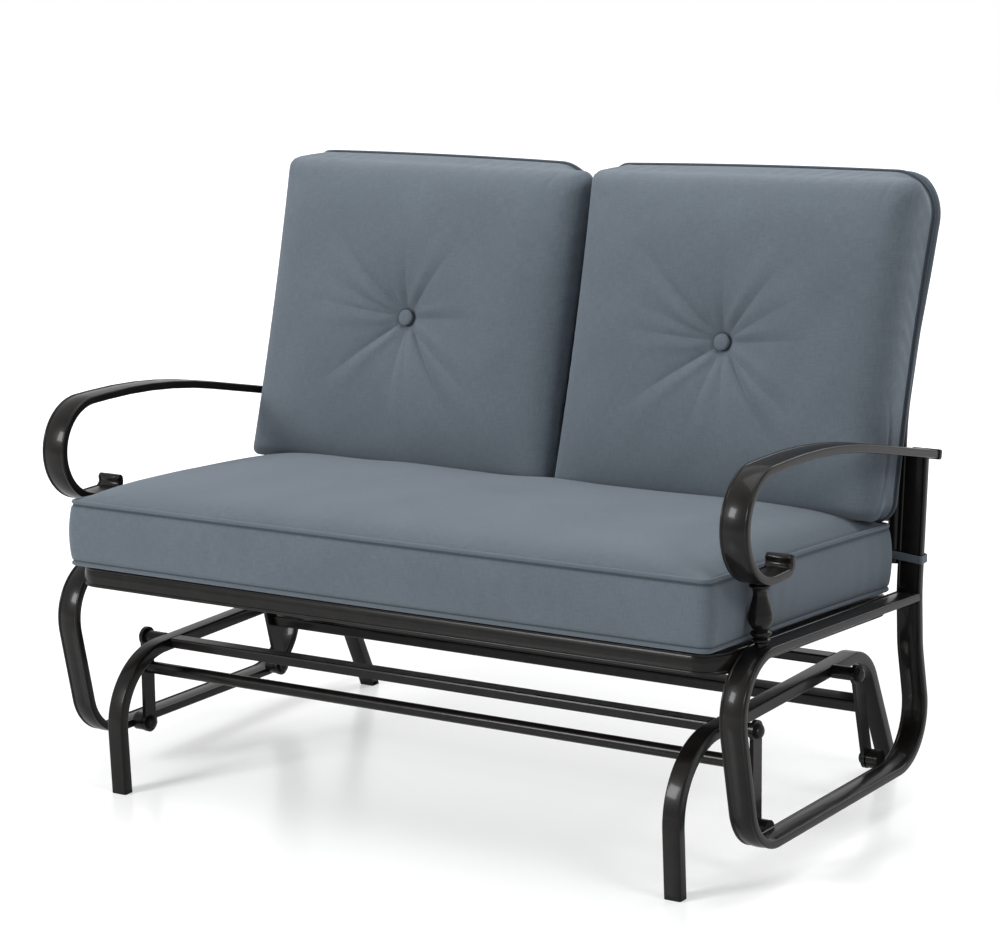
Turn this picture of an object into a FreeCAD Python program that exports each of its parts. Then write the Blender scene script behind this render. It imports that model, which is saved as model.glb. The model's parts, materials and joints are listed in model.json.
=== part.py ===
import FreeCAD, Part
import math
import os

# Glider bench: a fixed base, four swing links and a cushioned seat.
# Millimetres. X runs to the sitter's left-hand end (right in a front view), Y runs to the back, Z is up.
# The origin is on the floor, under the middle of the steel frame.
# Side outlines are written as (depth, height), where depth is measured back from the front feet.
# A setback is measured forward from the back of the steel frame, an inset inward from the wider frame.

# overall sizes of the steel frame
frame_depth = 686.0
frame_height = 851.0
arm_outer_width = 1206.5
arm_height = 588.0

# flat beaded strap of the side frames
strap_width = 38.0
strap_thickness = 12.0
side_frame_inset = 9.25
bead_radius = 2.7
bead_groove = 1.3
bead_inner_turn = 16.0
bead_outer_turn = 37.0

# side frame outline
seat_rail_front_height = 347.0
seat_rail_slope = 4.3
loop_front_depth = 12.0
loop_front_knee_height = 243.0
loop_front_lean = 9.2
loop_bottom_front_height = 61.5
loop_bottom_slope = 1.2
loop_top_radius = 88.0
loop_knee_radius = 100.0
loop_bottom_front_radius = 76.0
loop_bottom_rear_radius = 88.0
upright_setback = 146.0
upright_foot_bulge = 30.0
upright_waist_height = 228.0
upright_waist_radius = 150.0
upright_lean_height = 310.0
upright_lean = 7.6
upright_lean_radius = 260.0

# armrest
arm_strap_width = 42.0
arm_strap_thickness = 12.0
arm_front_depth = 15.0
arm_scroll_height = 428.0
arm_rear_slope = 13.6
arm_rear_drop = 90.0
arm_rear_overhang = 12.0
arm_level_length = 30.0
arm_sweep_radius = 1080.0
arm_scroll_depth = 150.0
arm_scroll_radius = 19.0
arm_scroll_rise = 32.0
arm_scroll_curl = 4.0
arm_cap_length = 7.0
arm_cap_lip = 3.0

# turned post between the side frame and the armrest scroll
post_depth = 97.0
post_neck_diameter = 20.0
post_belly_diameter = 32.0
post_ring_diameter = 28.0
post_foot_diameter = 18.0

# base
base_tube_width = 27.0
base_tube_height = 18.0
base_inset = 96.0
base_rail_height = 212.0
base_front_radius = 117.0
base_rear_radius = 80.0
base_rear_corner_setback = 125.0
base_rear_leg_splay = 22.5
base_cross_width = 25.0
base_cross_height = 15.0
base_cross_corner_radius = 2.5
front_cross_depth = 126.0
rear_cross_setback = 208.0
tube_corner_radius = 3.0
leg_overrun = 30.0
foot_cap_height = 6.0
foot_plug_length = 18.0
foot_plug_wall = 2.0
foot_plug_gap = 0.3
foot_plug_corner_radius = 1.0
foot_plug_bite = 1.0

# swing links
link_thickness = 6.0
link_width = 24.0
link_length = 136.0
link_eye_radius = 15.0
link_inset = 58.0
upper_pivot_height = 203.0
front_pivot_depth = 146.0
rear_pivot_setback = 245.0
front_link_lean = -3.0
rear_link_lean = 12.0
pivot_bolt_diameter = 10.0
pivot_head_diameter = 18.0
pivot_head_height = 7.0
bush_outer_diameter = 16.0
bush_flange_diameter = 22.0
bush_flange_thickness = 1.5
pivot_running_gap = 0.1
side_gap = 0.4
open_pivot_gap = 1.6
spacer_diameter = 20.0
boss_diameter = 28.0
boss_weld_depth = 2.0
front_bar_diameter = 19.0
front_bar_drop = 48.0
rear_bar_width = 27.0
rear_bar_height = 18.0
rear_bar_drop = 54.0
rear_bar_offset = 12.0
stud_depth = 24.0

# seat frame
apron_height = 30.0
apron_thickness = 20.0
apron_corner_radius = 42.0
apron_front_depth = 14.0
apron_drop = 2.0
seat_frame_rear_gap = 14.0
seat_slat_drop = 8.0
seat_slat_width = 40.0
seat_slat_thickness = 3.0
seat_slat_count = 9
seat_stay_width = 25.0
seat_stay_height = 13.0

# back frame
back_tube_diameter = 22.0
back_lean = 20.0
back_bend_height = 560.0
back_bend_radius = 150.0
back_foot_height = 345.0
back_top_radius = 70.0
back_slat_width = 30.0
back_slat_thickness = 3.0
back_slat_count = 9
back_lower_rail_rise = 70.0
back_lug_height = 470.0
back_lug_length = 32.0
back_lug_thickness = 6.0
back_low_bolt_rise = 8.0
frame_bolt_diameter = 6.0
frame_bolt_head_diameter = 14.0
frame_bolt_head_height = 4.5

# seat cushion
seat_cushion_side_gap = 4.0
seat_cushion_rear_gap = 17.0
seat_cushion_front = -6.0
seat_cushion_edge_inset = 4.0
seat_cushion_edge_height = 100.0
seat_cushion_crown = 34.0
seat_cushion_corner = 26.0
seat_cushion_pull = 9.0

# back cushions: a piped seam near the back, a soft roll at the front, the button at the middle
back_right_side_gap = 6.0
back_right_end = 6.0
back_left_start = 30.0
back_left_overhang = 1.0
back_cushion_top_height = 888.0
back_cushion_rear_top_setback = 11.7
back_cushion_rear_low_setback = 172.8
back_cushion_rear_low_height = 423.6
back_cushion_front_top_setback = 116.0
back_cushion_front_low_setback = 253.0
back_cushion_front_low_height = 435.6
back_cushion_corner = 44.0
back_cushion_front_corner = 26.0
back_cushion_pull = 10.0
back_cushion_roll = 13.0
back_cushion_crown = 27.0
back_cushion_rear_crown = 8.0
tuft_radius = 120.0
tuft_depth = 27.0
tuft_rim_rise = 4.0
button_diameter = 22.0
button_height = 8.0

# ties at the rear corners of the seat cushion
tie_width = 16.0
tie_thickness = 2.5
tie_rise = 17.0
soft_gap = 0.5

half = frame_depth / 2.0
X_AXIS = FreeCAD.Vector(1, 0, 0)

# places that follow the overall sizes
side_frame_outer_width = arm_outer_width - 2 * side_frame_inset
side_frame_x = side_frame_outer_width / 2 - strap_width / 2
side_frame_inner = side_frame_outer_width / 2 - strap_width
arm_x = arm_outer_width / 2 - arm_strap_width / 2
arm_front_radius = (arm_height - arm_scroll_height) / 2
base_outer_width = side_frame_outer_width - 2 * base_inset
base_x = base_outer_width / 2 - base_tube_width / 2
link_x = side_frame_outer_width / 2 - link_inset
link_inner = link_x - link_thickness / 2
flange_inner = link_inner - bush_flange_thickness
flange_outer = link_x + link_thickness / 2 + bush_flange_thickness
upright_depth = frame_depth - upright_setback
rear_pivot_depth = frame_depth - rear_pivot_setback
rear_cross_depth = frame_depth - rear_cross_setback
base_rear_corner_depth = frame_depth - base_rear_corner_setback
seat_frame_length = upright_depth - seat_frame_rear_gap - apron_front_depth
seat_cushion_width = 2 * (side_frame_inner - seat_cushion_side_gap)
seat_cushion_depth = upright_depth - seat_cushion_rear_gap
back_right_start = back_right_side_gap - side_frame_inner
back_left_end = side_frame_inner + back_left_overhang


# small helpers

def place(x, depth, height):
    return FreeCAD.Vector(x, depth - half, height)


def flat(depth, height):
    return FreeCAD.Vector(0, depth - half, height)


def tan(angle):
    return math.tan(math.radians(angle))


def save(name, shape):
    shape.exportStep("parts/" + name + ".step")
    print(name, "solids", len(shape.Solids), "volume", round(shape.Volume))


def group(shapes):
    return Part.makeCompound(shapes)


def mirror(shape):
    return shape.mirror(FreeCAD.Vector(0, 0, 0), X_AXIS)


def both_sides(shapes):
    return group(shapes + [mirror(shape) for shape in shapes])


def slab(low, high):
    # box between two corners given as (x, depth, height)
    start = place(*low)
    size = place(*high) - start
    return Part.makeBox(size.x, size.y, size.z, start)


def rod(x_start, x_end, depth, height, diameter):
    start = place(min(x_start, x_end), depth, height)
    return Part.makeCylinder(diameter / 2, abs(x_end - x_start), start, X_AXIS)


def arc(first, middle, last):
    return Part.Arc(first, middle, last).toShape()


def turned(points, axis_start, axis):
    # closed outline turned a full circle about an axis
    return Part.Face(Part.makePolygon(points + points[:1])).revolve(axis_start, axis, 360)


def dome(base, direction, diameter, skirt, crown):
    # round head with a straight side and a crowned top made of sloping rings
    radius = diameter / 2
    side = direction.cross(FreeCAD.Vector(0, 0.6, -0.8)).normalize()
    ball_radius = (radius ** 2 + crown ** 2) / (2 * crown)
    spread = math.asin(radius / ball_radius)
    points = [base, base + side * radius]
    for share in (1.0, 0.66, 0.33, 0.0):
        rise = skirt + crown - ball_radius + ball_radius * math.cos(spread * share)
        points.append(base + side * (ball_radius * math.sin(spread * share)) + direction * rise)
    return turned(points, base, direction)


# bent tubes: an outline of corners is rounded, then a profile is carried along it
# a bend takes up no more than this share of the stretch after it
bend_share = 0.92


def round_corners(corners, radii):
    stretches = []
    start = corners[0]
    for index, radius in enumerate(radii):
        corner = corners[index + 1]
        into = (corner - corners[index]).normalize()
        out = (corners[index + 2] - corner).normalize()
        turn = math.atan2(into.y * out.z - into.z * out.y, into.dot(out))
        room = min(start.distanceToPoint(corner), bend_share * corner.distanceToPoint(corners[index + 2]))
        reach = min(radius * math.tan(abs(turn) / 2), room)
        radius = reach / math.tan(abs(turn) / 2)
        bend_start = corner - into * reach
        bend_end = corner + out * reach
        centre = bend_start + FreeCAD.Vector(0, -into.z, into.y) * math.copysign(radius, turn)
        stretches.append((start, bend_start, None, 0.0))
        stretches.append((bend_start, bend_end, centre, math.degrees(turn)))
        start = bend_end
    stretches.append((start, corners[-1], None, 0.0))
    return [stretch for stretch in stretches if stretch[0].distanceToPoint(stretch[1]) > 0.01]


def carry(profile, stretches, x):
    # the travel direction turned a quarter turn gives the profile's outward side
    pieces = []
    heading = (stretches[0][1] - stretches[0][0]).normalize()
    for start, end, centre, turn in stretches:
        if centre is None:
            heading = (end - start).normalize()
        outward = FreeCAD.Vector(0, heading.z, -heading.y)
        origin = FreeCAD.Vector(x, start.y, start.z)
        face = profile(origin, outward)
        if centre is None:
            pieces.append(face.extrude(end - start))
        else:
            pieces.append(face.revolve(FreeCAD.Vector(x, centre.y, centre.z), X_AXIS, turn))
            heading = FreeCAD.Rotation(X_AXIS, turn).multVec(heading)
    return pieces[0].multiFuse(pieces[1:]).removeSplitter() if len(pieces) > 1 else pieces[0]


def beaded_strap(width, thickness):
    # flat tube whose wide faces have a raised bead along each edge, each bead in three slopes
    crest = width / 2 - bead_radius
    groove_turn = math.degrees(math.acos(1 - bead_groove / bead_radius))
    bead = []
    for turn in (-groove_turn, -bead_inner_turn, bead_outer_turn, 90.0):
        angle = math.radians(turn)
        bead.append((crest + bead_radius * math.sin(angle), bead_radius * math.cos(angle) - bead_radius))
    right = bead + [(across, -thickness - out) for across, out in reversed(bead)]
    left = [(-across, out) for across, out in reversed(right)]

    def profile(origin, outward):
        at = [origin + X_AXIS * across + outward * out for across, out in right + left]
        return Part.Face(Part.makePolygon(at + at[:1]))
    return profile


def rounded_bar(width, thickness, radius):
    # rectangle with eased corners, its outer side on the outline
    cut = radius * (1 - math.sqrt(0.5))
    spots = [(radius, 0), (width - radius, 0), (width - cut, -cut), (width, -radius),
             (width, radius - thickness), (width - cut, cut - thickness), (width - radius, -thickness),
             (radius, -thickness), (cut, cut - thickness), (0, radius - thickness),
             (0, -radius), (cut, -cut)]

    def profile(origin, outward):
        at = [origin + X_AXIS * (across - width / 2) + outward * out for across, out in spots]
        return Part.Face(Part.makePolygon(at + at[:1]))
    return profile


def cross_tube(x_half, depth, height, tube_depth, tube_height, radius):
    # straight tube along X; depth is its front face, height its top face
    origin = place(-x_half, depth + tube_depth / 2, height)
    profile = rounded_bar(tube_depth, tube_height, radius)
    face = profile(FreeCAD.Vector(0, 0, 0), FreeCAD.Vector(0, 0, 1))
    face.rotate(FreeCAD.Vector(0, 0, 0), FreeCAD.Vector(0, 0, 1), 90)
    face.translate(origin)
    return face.extrude(X_AXIS * (2 * x_half))


# lines and pivots of the side view

def seat_line(depth):
    return seat_rail_front_height - tan(seat_rail_slope) * (depth - loop_front_depth)


def swing_point(pivot_depth, lean, distance):
    angle = math.radians(lean)
    return pivot_depth + distance * math.sin(angle), upper_pivot_height - distance * math.cos(angle)


front_lower = swing_point(front_pivot_depth, front_link_lean, link_length)
rear_lower = swing_point(rear_pivot_depth, rear_link_lean, link_length)


# side frames of the seat

def arm_corners():
    end_rise = arm_height - arm_rear_drop - upright_lean_height
    end_depth = upright_depth + end_rise * tan(upright_lean) + arm_rear_overhang
    level_end = arm_front_depth + arm_front_radius + arm_level_length
    break_depth = level_end + arm_sweep_radius * tan(arm_rear_slope / 2)
    end_height = arm_height - tan(arm_rear_slope) * (end_depth - break_depth)
    return [
        flat(end_depth, end_height),
        flat(break_depth, arm_height),
        flat(arm_front_depth, arm_height),
        flat(arm_front_depth, arm_scroll_height),
        flat(arm_scroll_depth, arm_scroll_height),
        flat(arm_scroll_depth - arm_scroll_curl, arm_scroll_height + arm_scroll_rise),
    ]


def loop_corners():
    knee_drop = loop_front_knee_height - loop_bottom_front_height
    bottom_front = loop_front_depth + knee_drop * tan(loop_front_lean)
    bottom_rear = upright_depth + upright_foot_bulge
    bottom_rear_height = loop_bottom_front_height - (bottom_rear - bottom_front) * tan(loop_bottom_slope)
    top_rise = arm_height - upright_lean_height
    rail_end = upright_depth - strap_thickness / 2
    return [
        flat(rail_end, seat_line(rail_end)),
        flat(loop_front_depth, seat_rail_front_height),
        flat(loop_front_depth, loop_front_knee_height),
        flat(bottom_front, loop_bottom_front_height),
        flat(bottom_rear, bottom_rear_height),
        flat(upright_depth, upright_waist_height),
        flat(upright_depth, upright_lean_height),
        flat(upright_depth + top_rise * tan(upright_lean), upright_lean_height + top_rise),
    ]


def above_arm():
    # everything over the armrest's underside, used to trim the upright
    corners = arm_corners()
    along = (corners[0] - corners[1]).normalize()
    down = FreeCAD.Vector(0, along.z, -along.y)
    first = corners[1] + down * arm_strap_thickness
    last = corners[0] + along * (2 * strap_width) + down * arm_strap_thickness
    rise = FreeCAD.Vector(0, 0, arm_height)
    shift = X_AXIS * (side_frame_x - strap_width)
    wire = Part.makePolygon([p + shift for p in (first, last, last + rise, first + rise, first)])
    return Part.Face(wire).extrude(X_AXIS * (2 * strap_width))


def side_frame():
    radii = [loop_top_radius, loop_knee_radius, loop_bottom_front_radius,
             loop_bottom_rear_radius, upright_waist_radius, upright_lean_radius]
    path = round_corners(loop_corners(), radii)
    strap = carry(beaded_strap(strap_width, strap_thickness), path, side_frame_x)
    return strap.cut(above_arm())


def armrest():
    radii = [arm_sweep_radius, arm_front_radius, arm_front_radius, arm_scroll_radius]
    path = round_corners(arm_corners(), radii)
    return carry(beaded_strap(arm_strap_width, arm_strap_thickness), path, arm_x)


def arm_end_cap():
    # cap over the armrest's rear end, a little deeper than the strap
    corners = arm_corners()
    along = (corners[0] - corners[1]).normalize()
    start = corners[0]
    lift = FreeCAD.Vector(0, -along.z, along.y) * (arm_cap_lip / 2)
    path = [(start + lift, start + lift + along * arm_cap_length, None, 0.0)]
    body = rounded_bar(arm_strap_width + arm_cap_lip, arm_strap_thickness + arm_cap_lip, bead_radius)

    def downside(origin, outward):
        return body(origin, outward * -1)
    return carry(downside, path, arm_x)


def arm_post(frame, rest):
    # turned baluster: foot, neck, ring, long belly and a collar under the armrest
    neck = post_neck_diameter / 2
    belly = post_belly_diameter / 2
    ring = post_ring_diameter / 2
    foot = post_foot_diameter / 2
    low = seat_line(post_depth)
    rise = arm_scroll_height - low
    sink = strap_thickness / 2
    outline = [
        (foot, -sink - 4), (foot, 0.08 * rise), (neck, 0.10 * rise), (neck, 0.14 * rise),
        (ring - 1, 0.17 * rise), (ring, 0.19 * rise), (ring - 1, 0.21 * rise), (neck + 1.5, 0.24 * rise),
        (belly - 2, 0.31 * rise), (belly, 0.38 * rise), (belly, 0.46 * rise), (belly - 2, 0.55 * rise),
        (neck + 1, 0.72 * rise), (neck - 0.5, 0.82 * rise), (neck, 0.90 * rise),
        (neck + 2.5, 0.94 * rise), (neck + 1, 0.98 * rise), (neck + 1, rise + sink),
    ]
    points = [place(side_frame_x, post_depth, low + outline[0][1])]
    points += [place(side_frame_x + radius, post_depth, low + height) for radius, height in outline]
    points.append(place(side_frame_x, post_depth, low + outline[-1][1]))
    post = turned(points, place(side_frame_x, post_depth, 0), FreeCAD.Vector(0, 0, 1))
    return post.cut(frame).cut(rest)


# base

def base_path(overrun):
    rear_foot = base_rear_corner_depth + (base_rail_height + overrun) * tan(base_rear_leg_splay)
    corners = [
        flat(rear_foot, -overrun),
        flat(base_rear_corner_depth, base_rail_height),
        flat(0, base_rail_height),
        flat(0, -overrun),
    ]
    return round_corners(corners, [base_rear_radius, base_front_radius])


def below(height):
    reach = frame_depth
    return slab((0, -reach, -reach), (base_outer_width, 2 * reach, height))


def foot_plugs(clearance):
    # inner fill of the tube ends, without the walls
    wall = foot_plug_wall + clearance
    path = base_path(leg_overrun)
    bar = rounded_bar(base_tube_width - 2 * wall, base_tube_height - 2 * wall, foot_plug_corner_radius)

    def inner(origin, outward):
        return bar(origin - outward * wall, outward)
    ends = [carry(inner, [path[0]], base_x), carry(inner, [path[-1]], base_x)]
    low = foot_cap_height - foot_plug_bite
    high = foot_cap_height + foot_plug_length - clearance
    band = slab((0, -frame_depth, low), (base_outer_width, 2 * frame_depth, high))
    return [end.common(band) for end in ends]


def base_tube():
    profile = rounded_bar(base_tube_width, base_tube_height, tube_corner_radius)
    return carry(profile, base_path(leg_overrun), base_x)


def base_side_frame():
    frame = base_tube().cut(below(foot_cap_height))
    for plug in foot_plugs(0.0):
        frame = frame.cut(plug)
    for depth in (front_pivot_depth, rear_pivot_depth):
        inner_end = base_outer_width / 2 - stud_depth
        frame = frame.cut(rod(inner_end, base_outer_width, depth, upper_pivot_height, pivot_bolt_diameter))
    return frame


def base_cross_tube(depth):
    base_inner = base_outer_width / 2 - base_tube_width
    return cross_tube(base_inner, depth, base_rail_height, base_cross_width, base_cross_height,
                      base_cross_corner_radius)


def foot_caps():
    shoes = base_tube().common(below(foot_cap_height)).cut(below(0))
    caps = []
    for plug in foot_plugs(foot_plug_gap):
        near = [shoe for shoe in shoes.Solids if shoe.distToShape(plug)[0] < 1][0]
        caps.append(near.fuse(plug).removeSplitter())
    return both_sides(caps)


# swing links and their pivots

def link(lower, open_end):
    upper = (rear_pivot_depth if open_end else front_pivot_depth, upper_pivot_height)
    outer = link_x + link_thickness / 2
    shape = rod(link_inner, outer, upper[0], upper[1], 2 * link_eye_radius)
    shape = shape.fuse(rod(link_inner, outer, lower[0], lower[1], 2 * link_eye_radius))
    along = (flat(*lower) - flat(*upper)).normalize()
    across = FreeCAD.Vector(0, -along.z, along.y) * (link_width / 2)
    start = FreeCAD.Vector(link_inner, 0, 0)
    top, foot = flat(*upper) + start, flat(*lower) + start
    bar = Part.Face(Part.makePolygon([top + across, foot + across, foot - across, top - across, top + across]))
    shape = shape.fuse(bar.extrude(X_AXIS * link_thickness)).removeSplitter()
    for spot in (upper, lower):
        shape = shape.cut(rod(link_inner - 1, outer + 1, spot[0], spot[1], bush_outer_diameter))
    return shape


def bush(spot, bore_gap):
    depth, height = spot
    sleeve = rod(flange_inner, flange_outer, depth, height, bush_outer_diameter)
    for x in (flange_inner, flange_outer - bush_flange_thickness):
        sleeve = sleeve.fuse(rod(x, x + bush_flange_thickness, depth, height, bush_flange_diameter))
    bore = rod(flange_inner - 1, flange_outer + 1, depth, height, pivot_bolt_diameter + 2 * bore_gap)
    return sleeve.removeSplitter().cut(bore)


def domed_head(x, direction, depth, height):
    crown = pivot_head_height / 2
    return dome(place(x, depth, height), X_AXIS * direction, pivot_head_diameter, crown, crown)


def upper_bolt(depth):
    head_x = flange_outer + side_gap
    shaft = rod(base_outer_width / 2 - stud_depth, head_x, depth, upper_pivot_height, pivot_bolt_diameter)
    return shaft.fuse(domed_head(head_x, 1, depth, upper_pivot_height)).removeSplitter()


def upper_spacer(depth):
    tube = rod(base_outer_width / 2, flange_inner - side_gap, depth, upper_pivot_height, spacer_diameter)
    return tube.cut(rod(0, frame_depth, depth, upper_pivot_height, pivot_bolt_diameter))


def lower_boss(spot, frame):
    # round boss welded to the inner edge of the side frame's bottom rail
    boss = rod(flange_outer + side_gap, side_frame_inner + boss_weld_depth, spot[0], spot[1], boss_diameter)
    boss = boss.cut(frame)
    return boss.cut(rod(0, side_frame_inner - boss_weld_depth, spot[0], spot[1], pivot_bolt_diameter))


def lower_bolt(spot):
    head_x = flange_inner - side_gap
    shaft = rod(head_x, side_frame_inner - boss_weld_depth, spot[0], spot[1], pivot_bolt_diameter)
    return shaft.fuse(domed_head(head_x, -1, spot[0], spot[1])).removeSplitter()


def front_swing_bar():
    depth, height = swing_point(front_pivot_depth, front_link_lean, front_bar_drop)
    return rod(-link_inner, link_inner, depth, height, front_bar_diameter)


def rear_swing_bar():
    depth, height = swing_point(rear_pivot_depth, rear_link_lean, rear_bar_drop)
    bar = cross_tube(link_inner, depth + rear_bar_offset - rear_bar_width / 2, height + rear_bar_height / 2,
                     rear_bar_width, rear_bar_height, tube_corner_radius)
    bar.rotate(place(0, depth, height), X_AXIS, rear_link_lean)
    return bar


# seat and back frames

def plan(across, along):
    # point of a path drawn in plan, to be turned upright by from_plan
    return FreeCAD.Vector(0, across, along)


def from_plan(shape, lean):
    # plan paths are laid flat, then leaned: 90 keeps them level, 0 stands them upright
    shape.rotate(FreeCAD.Vector(0, 0, 0), FreeCAD.Vector(1, 1, 1), -120)
    shape.rotate(FreeCAD.Vector(0, 0, 0), X_AXIS, 90 - lean)
    return shape


def round_tube(diameter, inset):
    # the tube's axis lies inside the path by the inset
    def profile(origin, outward):
        circle = Part.makeCircle(diameter / 2, origin - outward * inset, outward.cross(X_AXIS))
        return Part.Face(Part.Wire([circle]))
    return profile


def flat_bar(width, thickness):
    # flat bar centred on the path
    def profile(origin, outward):
        side = X_AXIS * (width / 2)
        out = outward * (thickness / 2)
        at = [origin + side + out, origin + side - out, origin - side - out, origin - side + out]
        return Part.Face(Part.makePolygon(at + at[:1]))
    return profile


def seat_frame():
    side = side_frame_inner
    corners = [plan(0, seat_frame_length), plan(-side, seat_frame_length), plan(-side, 0),
               plan(side, 0), plan(side, seat_frame_length), plan(0, seat_frame_length)]
    path = round_corners(corners, [apron_corner_radius] * 4)
    return from_plan(carry(beaded_strap(apron_height, apron_thickness), path, 0), 90)


def onto_seat(shape, drop):
    # lays a shape drawn level at height 0 onto the sloping seat, its front at the apron's face
    shape.translate(FreeCAD.Vector(0, 0, -drop))
    shape.rotate(FreeCAD.Vector(0, 0, 0), X_AXIS, -seat_rail_slope)
    shape.translate(place(0, apron_front_depth, seat_line(apron_front_depth)))
    return shape


def seat_slats():
    inner = apron_thickness - bead_groove
    pitch = 2 * (side_frame_inner - apron_thickness) / (seat_slat_count + 1)
    slats = []
    for index in range(seat_slat_count):
        middle = (index - (seat_slat_count - 1) / 2) * pitch
        corner = FreeCAD.Vector(middle - seat_slat_width / 2, inner, -seat_slat_thickness)
        slats.append(Part.makeBox(seat_slat_width, seat_frame_length - 2 * inner, seat_slat_thickness, corner))
    return group(slats)


def seat_stay():
    inner = side_frame_inner - apron_thickness + bead_groove
    start = FreeCAD.Vector(-inner, seat_frame_length / 2 - seat_stay_width / 2, -seat_stay_height)
    return Part.makeBox(2 * inner, seat_stay_width, seat_stay_height, start)


back_tube_x = side_frame_inner - back_tube_diameter / 2
back_top_depth = frame_depth - back_tube_diameter / 2
back_top_height = frame_height - back_tube_diameter / 2
back_bend_depth = back_top_depth - (back_top_height - back_bend_height) * tan(back_lean)
back_foot_depth = back_bend_depth - (back_bend_height - back_foot_height) * tan(upright_lean)
back_foot_cosine = math.cos(math.radians(upright_lean))


def back_axis_depth(height):
    return back_foot_depth + (height - back_foot_height) * tan(upright_lean)


def onto_back(shape):
    # leans a shape drawn upright in the XZ plane about the foot of the back frame
    shape.rotate(FreeCAD.Vector(0, 0, 0), X_AXIS, -upright_lean)
    shape.translate(place(0, back_foot_depth, back_foot_height))
    return shape


def back_line(start_height, end_depth, end_height):
    # side outline of the back: it leans as the uprights do, then bends further back
    corners = [
        flat(back_axis_depth(start_height), start_height),
        flat(back_bend_depth, back_bend_height),
        flat(end_depth, end_height),
    ]
    return round_corners(corners, [back_bend_radius])


def back_hoop():
    # two bent posts joined by a level top with round corners
    upper = (back_top_height - back_bend_height) / math.cos(math.radians(back_lean))
    top = upper + back_tube_diameter / 2
    overlap = 2 * back_bend_radius * tan((back_lean - upright_lean) / 2)
    corners = [plan(side_frame_inner, overlap), plan(side_frame_inner, top),
               plan(-side_frame_inner, top), plan(-side_frame_inner, overlap)]
    path = round_corners(corners, [back_top_radius] * 2)
    inset = back_tube_diameter / 2
    hoop = from_plan(carry(round_tube(back_tube_diameter, inset), path, 0), 0)
    hoop.rotate(FreeCAD.Vector(0, 0, 0), X_AXIS, -back_lean)
    hoop.translate(place(0, back_bend_depth, back_bend_height))
    share = overlap / upper
    joint_depth = back_bend_depth + share * (back_top_depth - back_bend_depth)
    joint_height = back_bend_height + share * (back_top_height - back_bend_height)
    line = back_line(back_foot_height, joint_depth, joint_height)
    post = carry(round_tube(back_tube_diameter, 0), line, back_tube_x)
    return hoop.multiFuse([post, mirror(post)]).removeSplitter()


def back_lower_rail(hoop):
    start = FreeCAD.Vector(-back_tube_x, 0, back_lower_rail_rise)
    rail = Part.makeCylinder(back_tube_diameter / 2, 2 * back_tube_x, start, X_AXIS)
    return onto_back(rail).cut(hoop)


def back_slats(hoop, rail):
    pitch = 2 * back_tube_x / (back_slat_count + 1)
    start = back_foot_height + back_lower_rail_rise * back_foot_cosine
    line = back_line(start, back_top_depth, back_top_height)
    slats = []
    for index in range(back_slat_count):
        middle = (index - (back_slat_count - 1) / 2) * pitch
        slat = carry(flat_bar(back_slat_width, back_slat_thickness), line, middle)
        slats.append(slat.cut(hoop).cut(rail))
    return group(slats)


def back_lug():
    # flat lug on the upright's inner edge, in front of the back frame's post
    reach = -back_tube_diameter / 2 - back_lug_thickness
    rise = (back_lug_height - back_foot_height) / back_foot_cosine - back_lug_length / 2
    corner = FreeCAD.Vector(back_tube_x - back_tube_diameter / 2, reach, rise)
    return onto_back(Part.makeBox(back_tube_diameter, back_lug_thickness, back_lug_length, corner))


def button_head(base, direction):
    skirt = frame_bolt_head_height / 3
    return dome(base, direction, frame_bolt_head_diameter, skirt, frame_bolt_head_height - skirt)


lug_bolt_base = FreeCAD.Vector(back_tube_x, -back_tube_diameter / 2 - back_lug_thickness,
                               (back_lug_height - back_foot_height) / back_foot_cosine)
low_bolt_base = FreeCAD.Vector(back_tube_x - back_tube_diameter / 2, 0, back_low_bolt_rise)


def lug_shaft():
    reach = back_lug_thickness + back_tube_diameter * 0.75
    return Part.makeCylinder(frame_bolt_diameter / 2, reach, lug_bolt_base, FreeCAD.Vector(0, 1, 0))


def low_shaft():
    # passes sideways through the post's foot into the upright
    reach = back_tube_diameter + strap_width / 2
    return Part.makeCylinder(frame_bolt_diameter / 2, reach, low_bolt_base, X_AXIS)


def frame_bolts():
    lug_head = button_head(lug_bolt_base, FreeCAD.Vector(0, -1, 0))
    low_head = button_head(low_bolt_base, X_AXIS * -1)
    return [onto_back(lug_shaft().fuse(lug_head).removeSplitter()),
            onto_back(low_shaft().fuse(low_head).removeSplitter())]


# cushions

def soft_outline(width, length, corner, pull):
    # rounded rectangle whose sides draw in between the corners
    a = width / 2
    b = length / 2
    cut = corner * (1 - math.sqrt(0.5))

    def at(x, y):
        return FreeCAD.Vector(x, y, 0)
    return Part.Wire([
        arc(at(a - corner, b), at(a - cut, b - cut), at(a, b - corner)),
        arc(at(a, b - corner), at(a - pull, 0), at(a, corner - b)),
        arc(at(a, corner - b), at(a - cut, cut - b), at(a - corner, -b)),
        arc(at(a - corner, -b), at(0, pull - b), at(corner - a, -b)),
        arc(at(corner - a, -b), at(cut - a, cut - b), at(-a, corner - b)),
        arc(at(-a, corner - b), at(pull - a, 0), at(-a, b - corner)),
        arc(at(-a, b - corner), at(cut - a, b - cut), at(corner - a, b)),
        arc(at(corner - a, b), at(0, b - pull), at(a - corner, b)),
    ])


def leaned(wire, lean, centre, lift):
    # stands a level outline up, leaned back, and lifts it along its own normal
    wire.rotate(FreeCAD.Vector(0, 0, 0), X_AXIS, 90 - lean)
    angle = math.radians(lean)
    wire.translate(centre + FreeCAD.Vector(0, -math.cos(angle), math.sin(angle)) * lift)
    return wire


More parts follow.
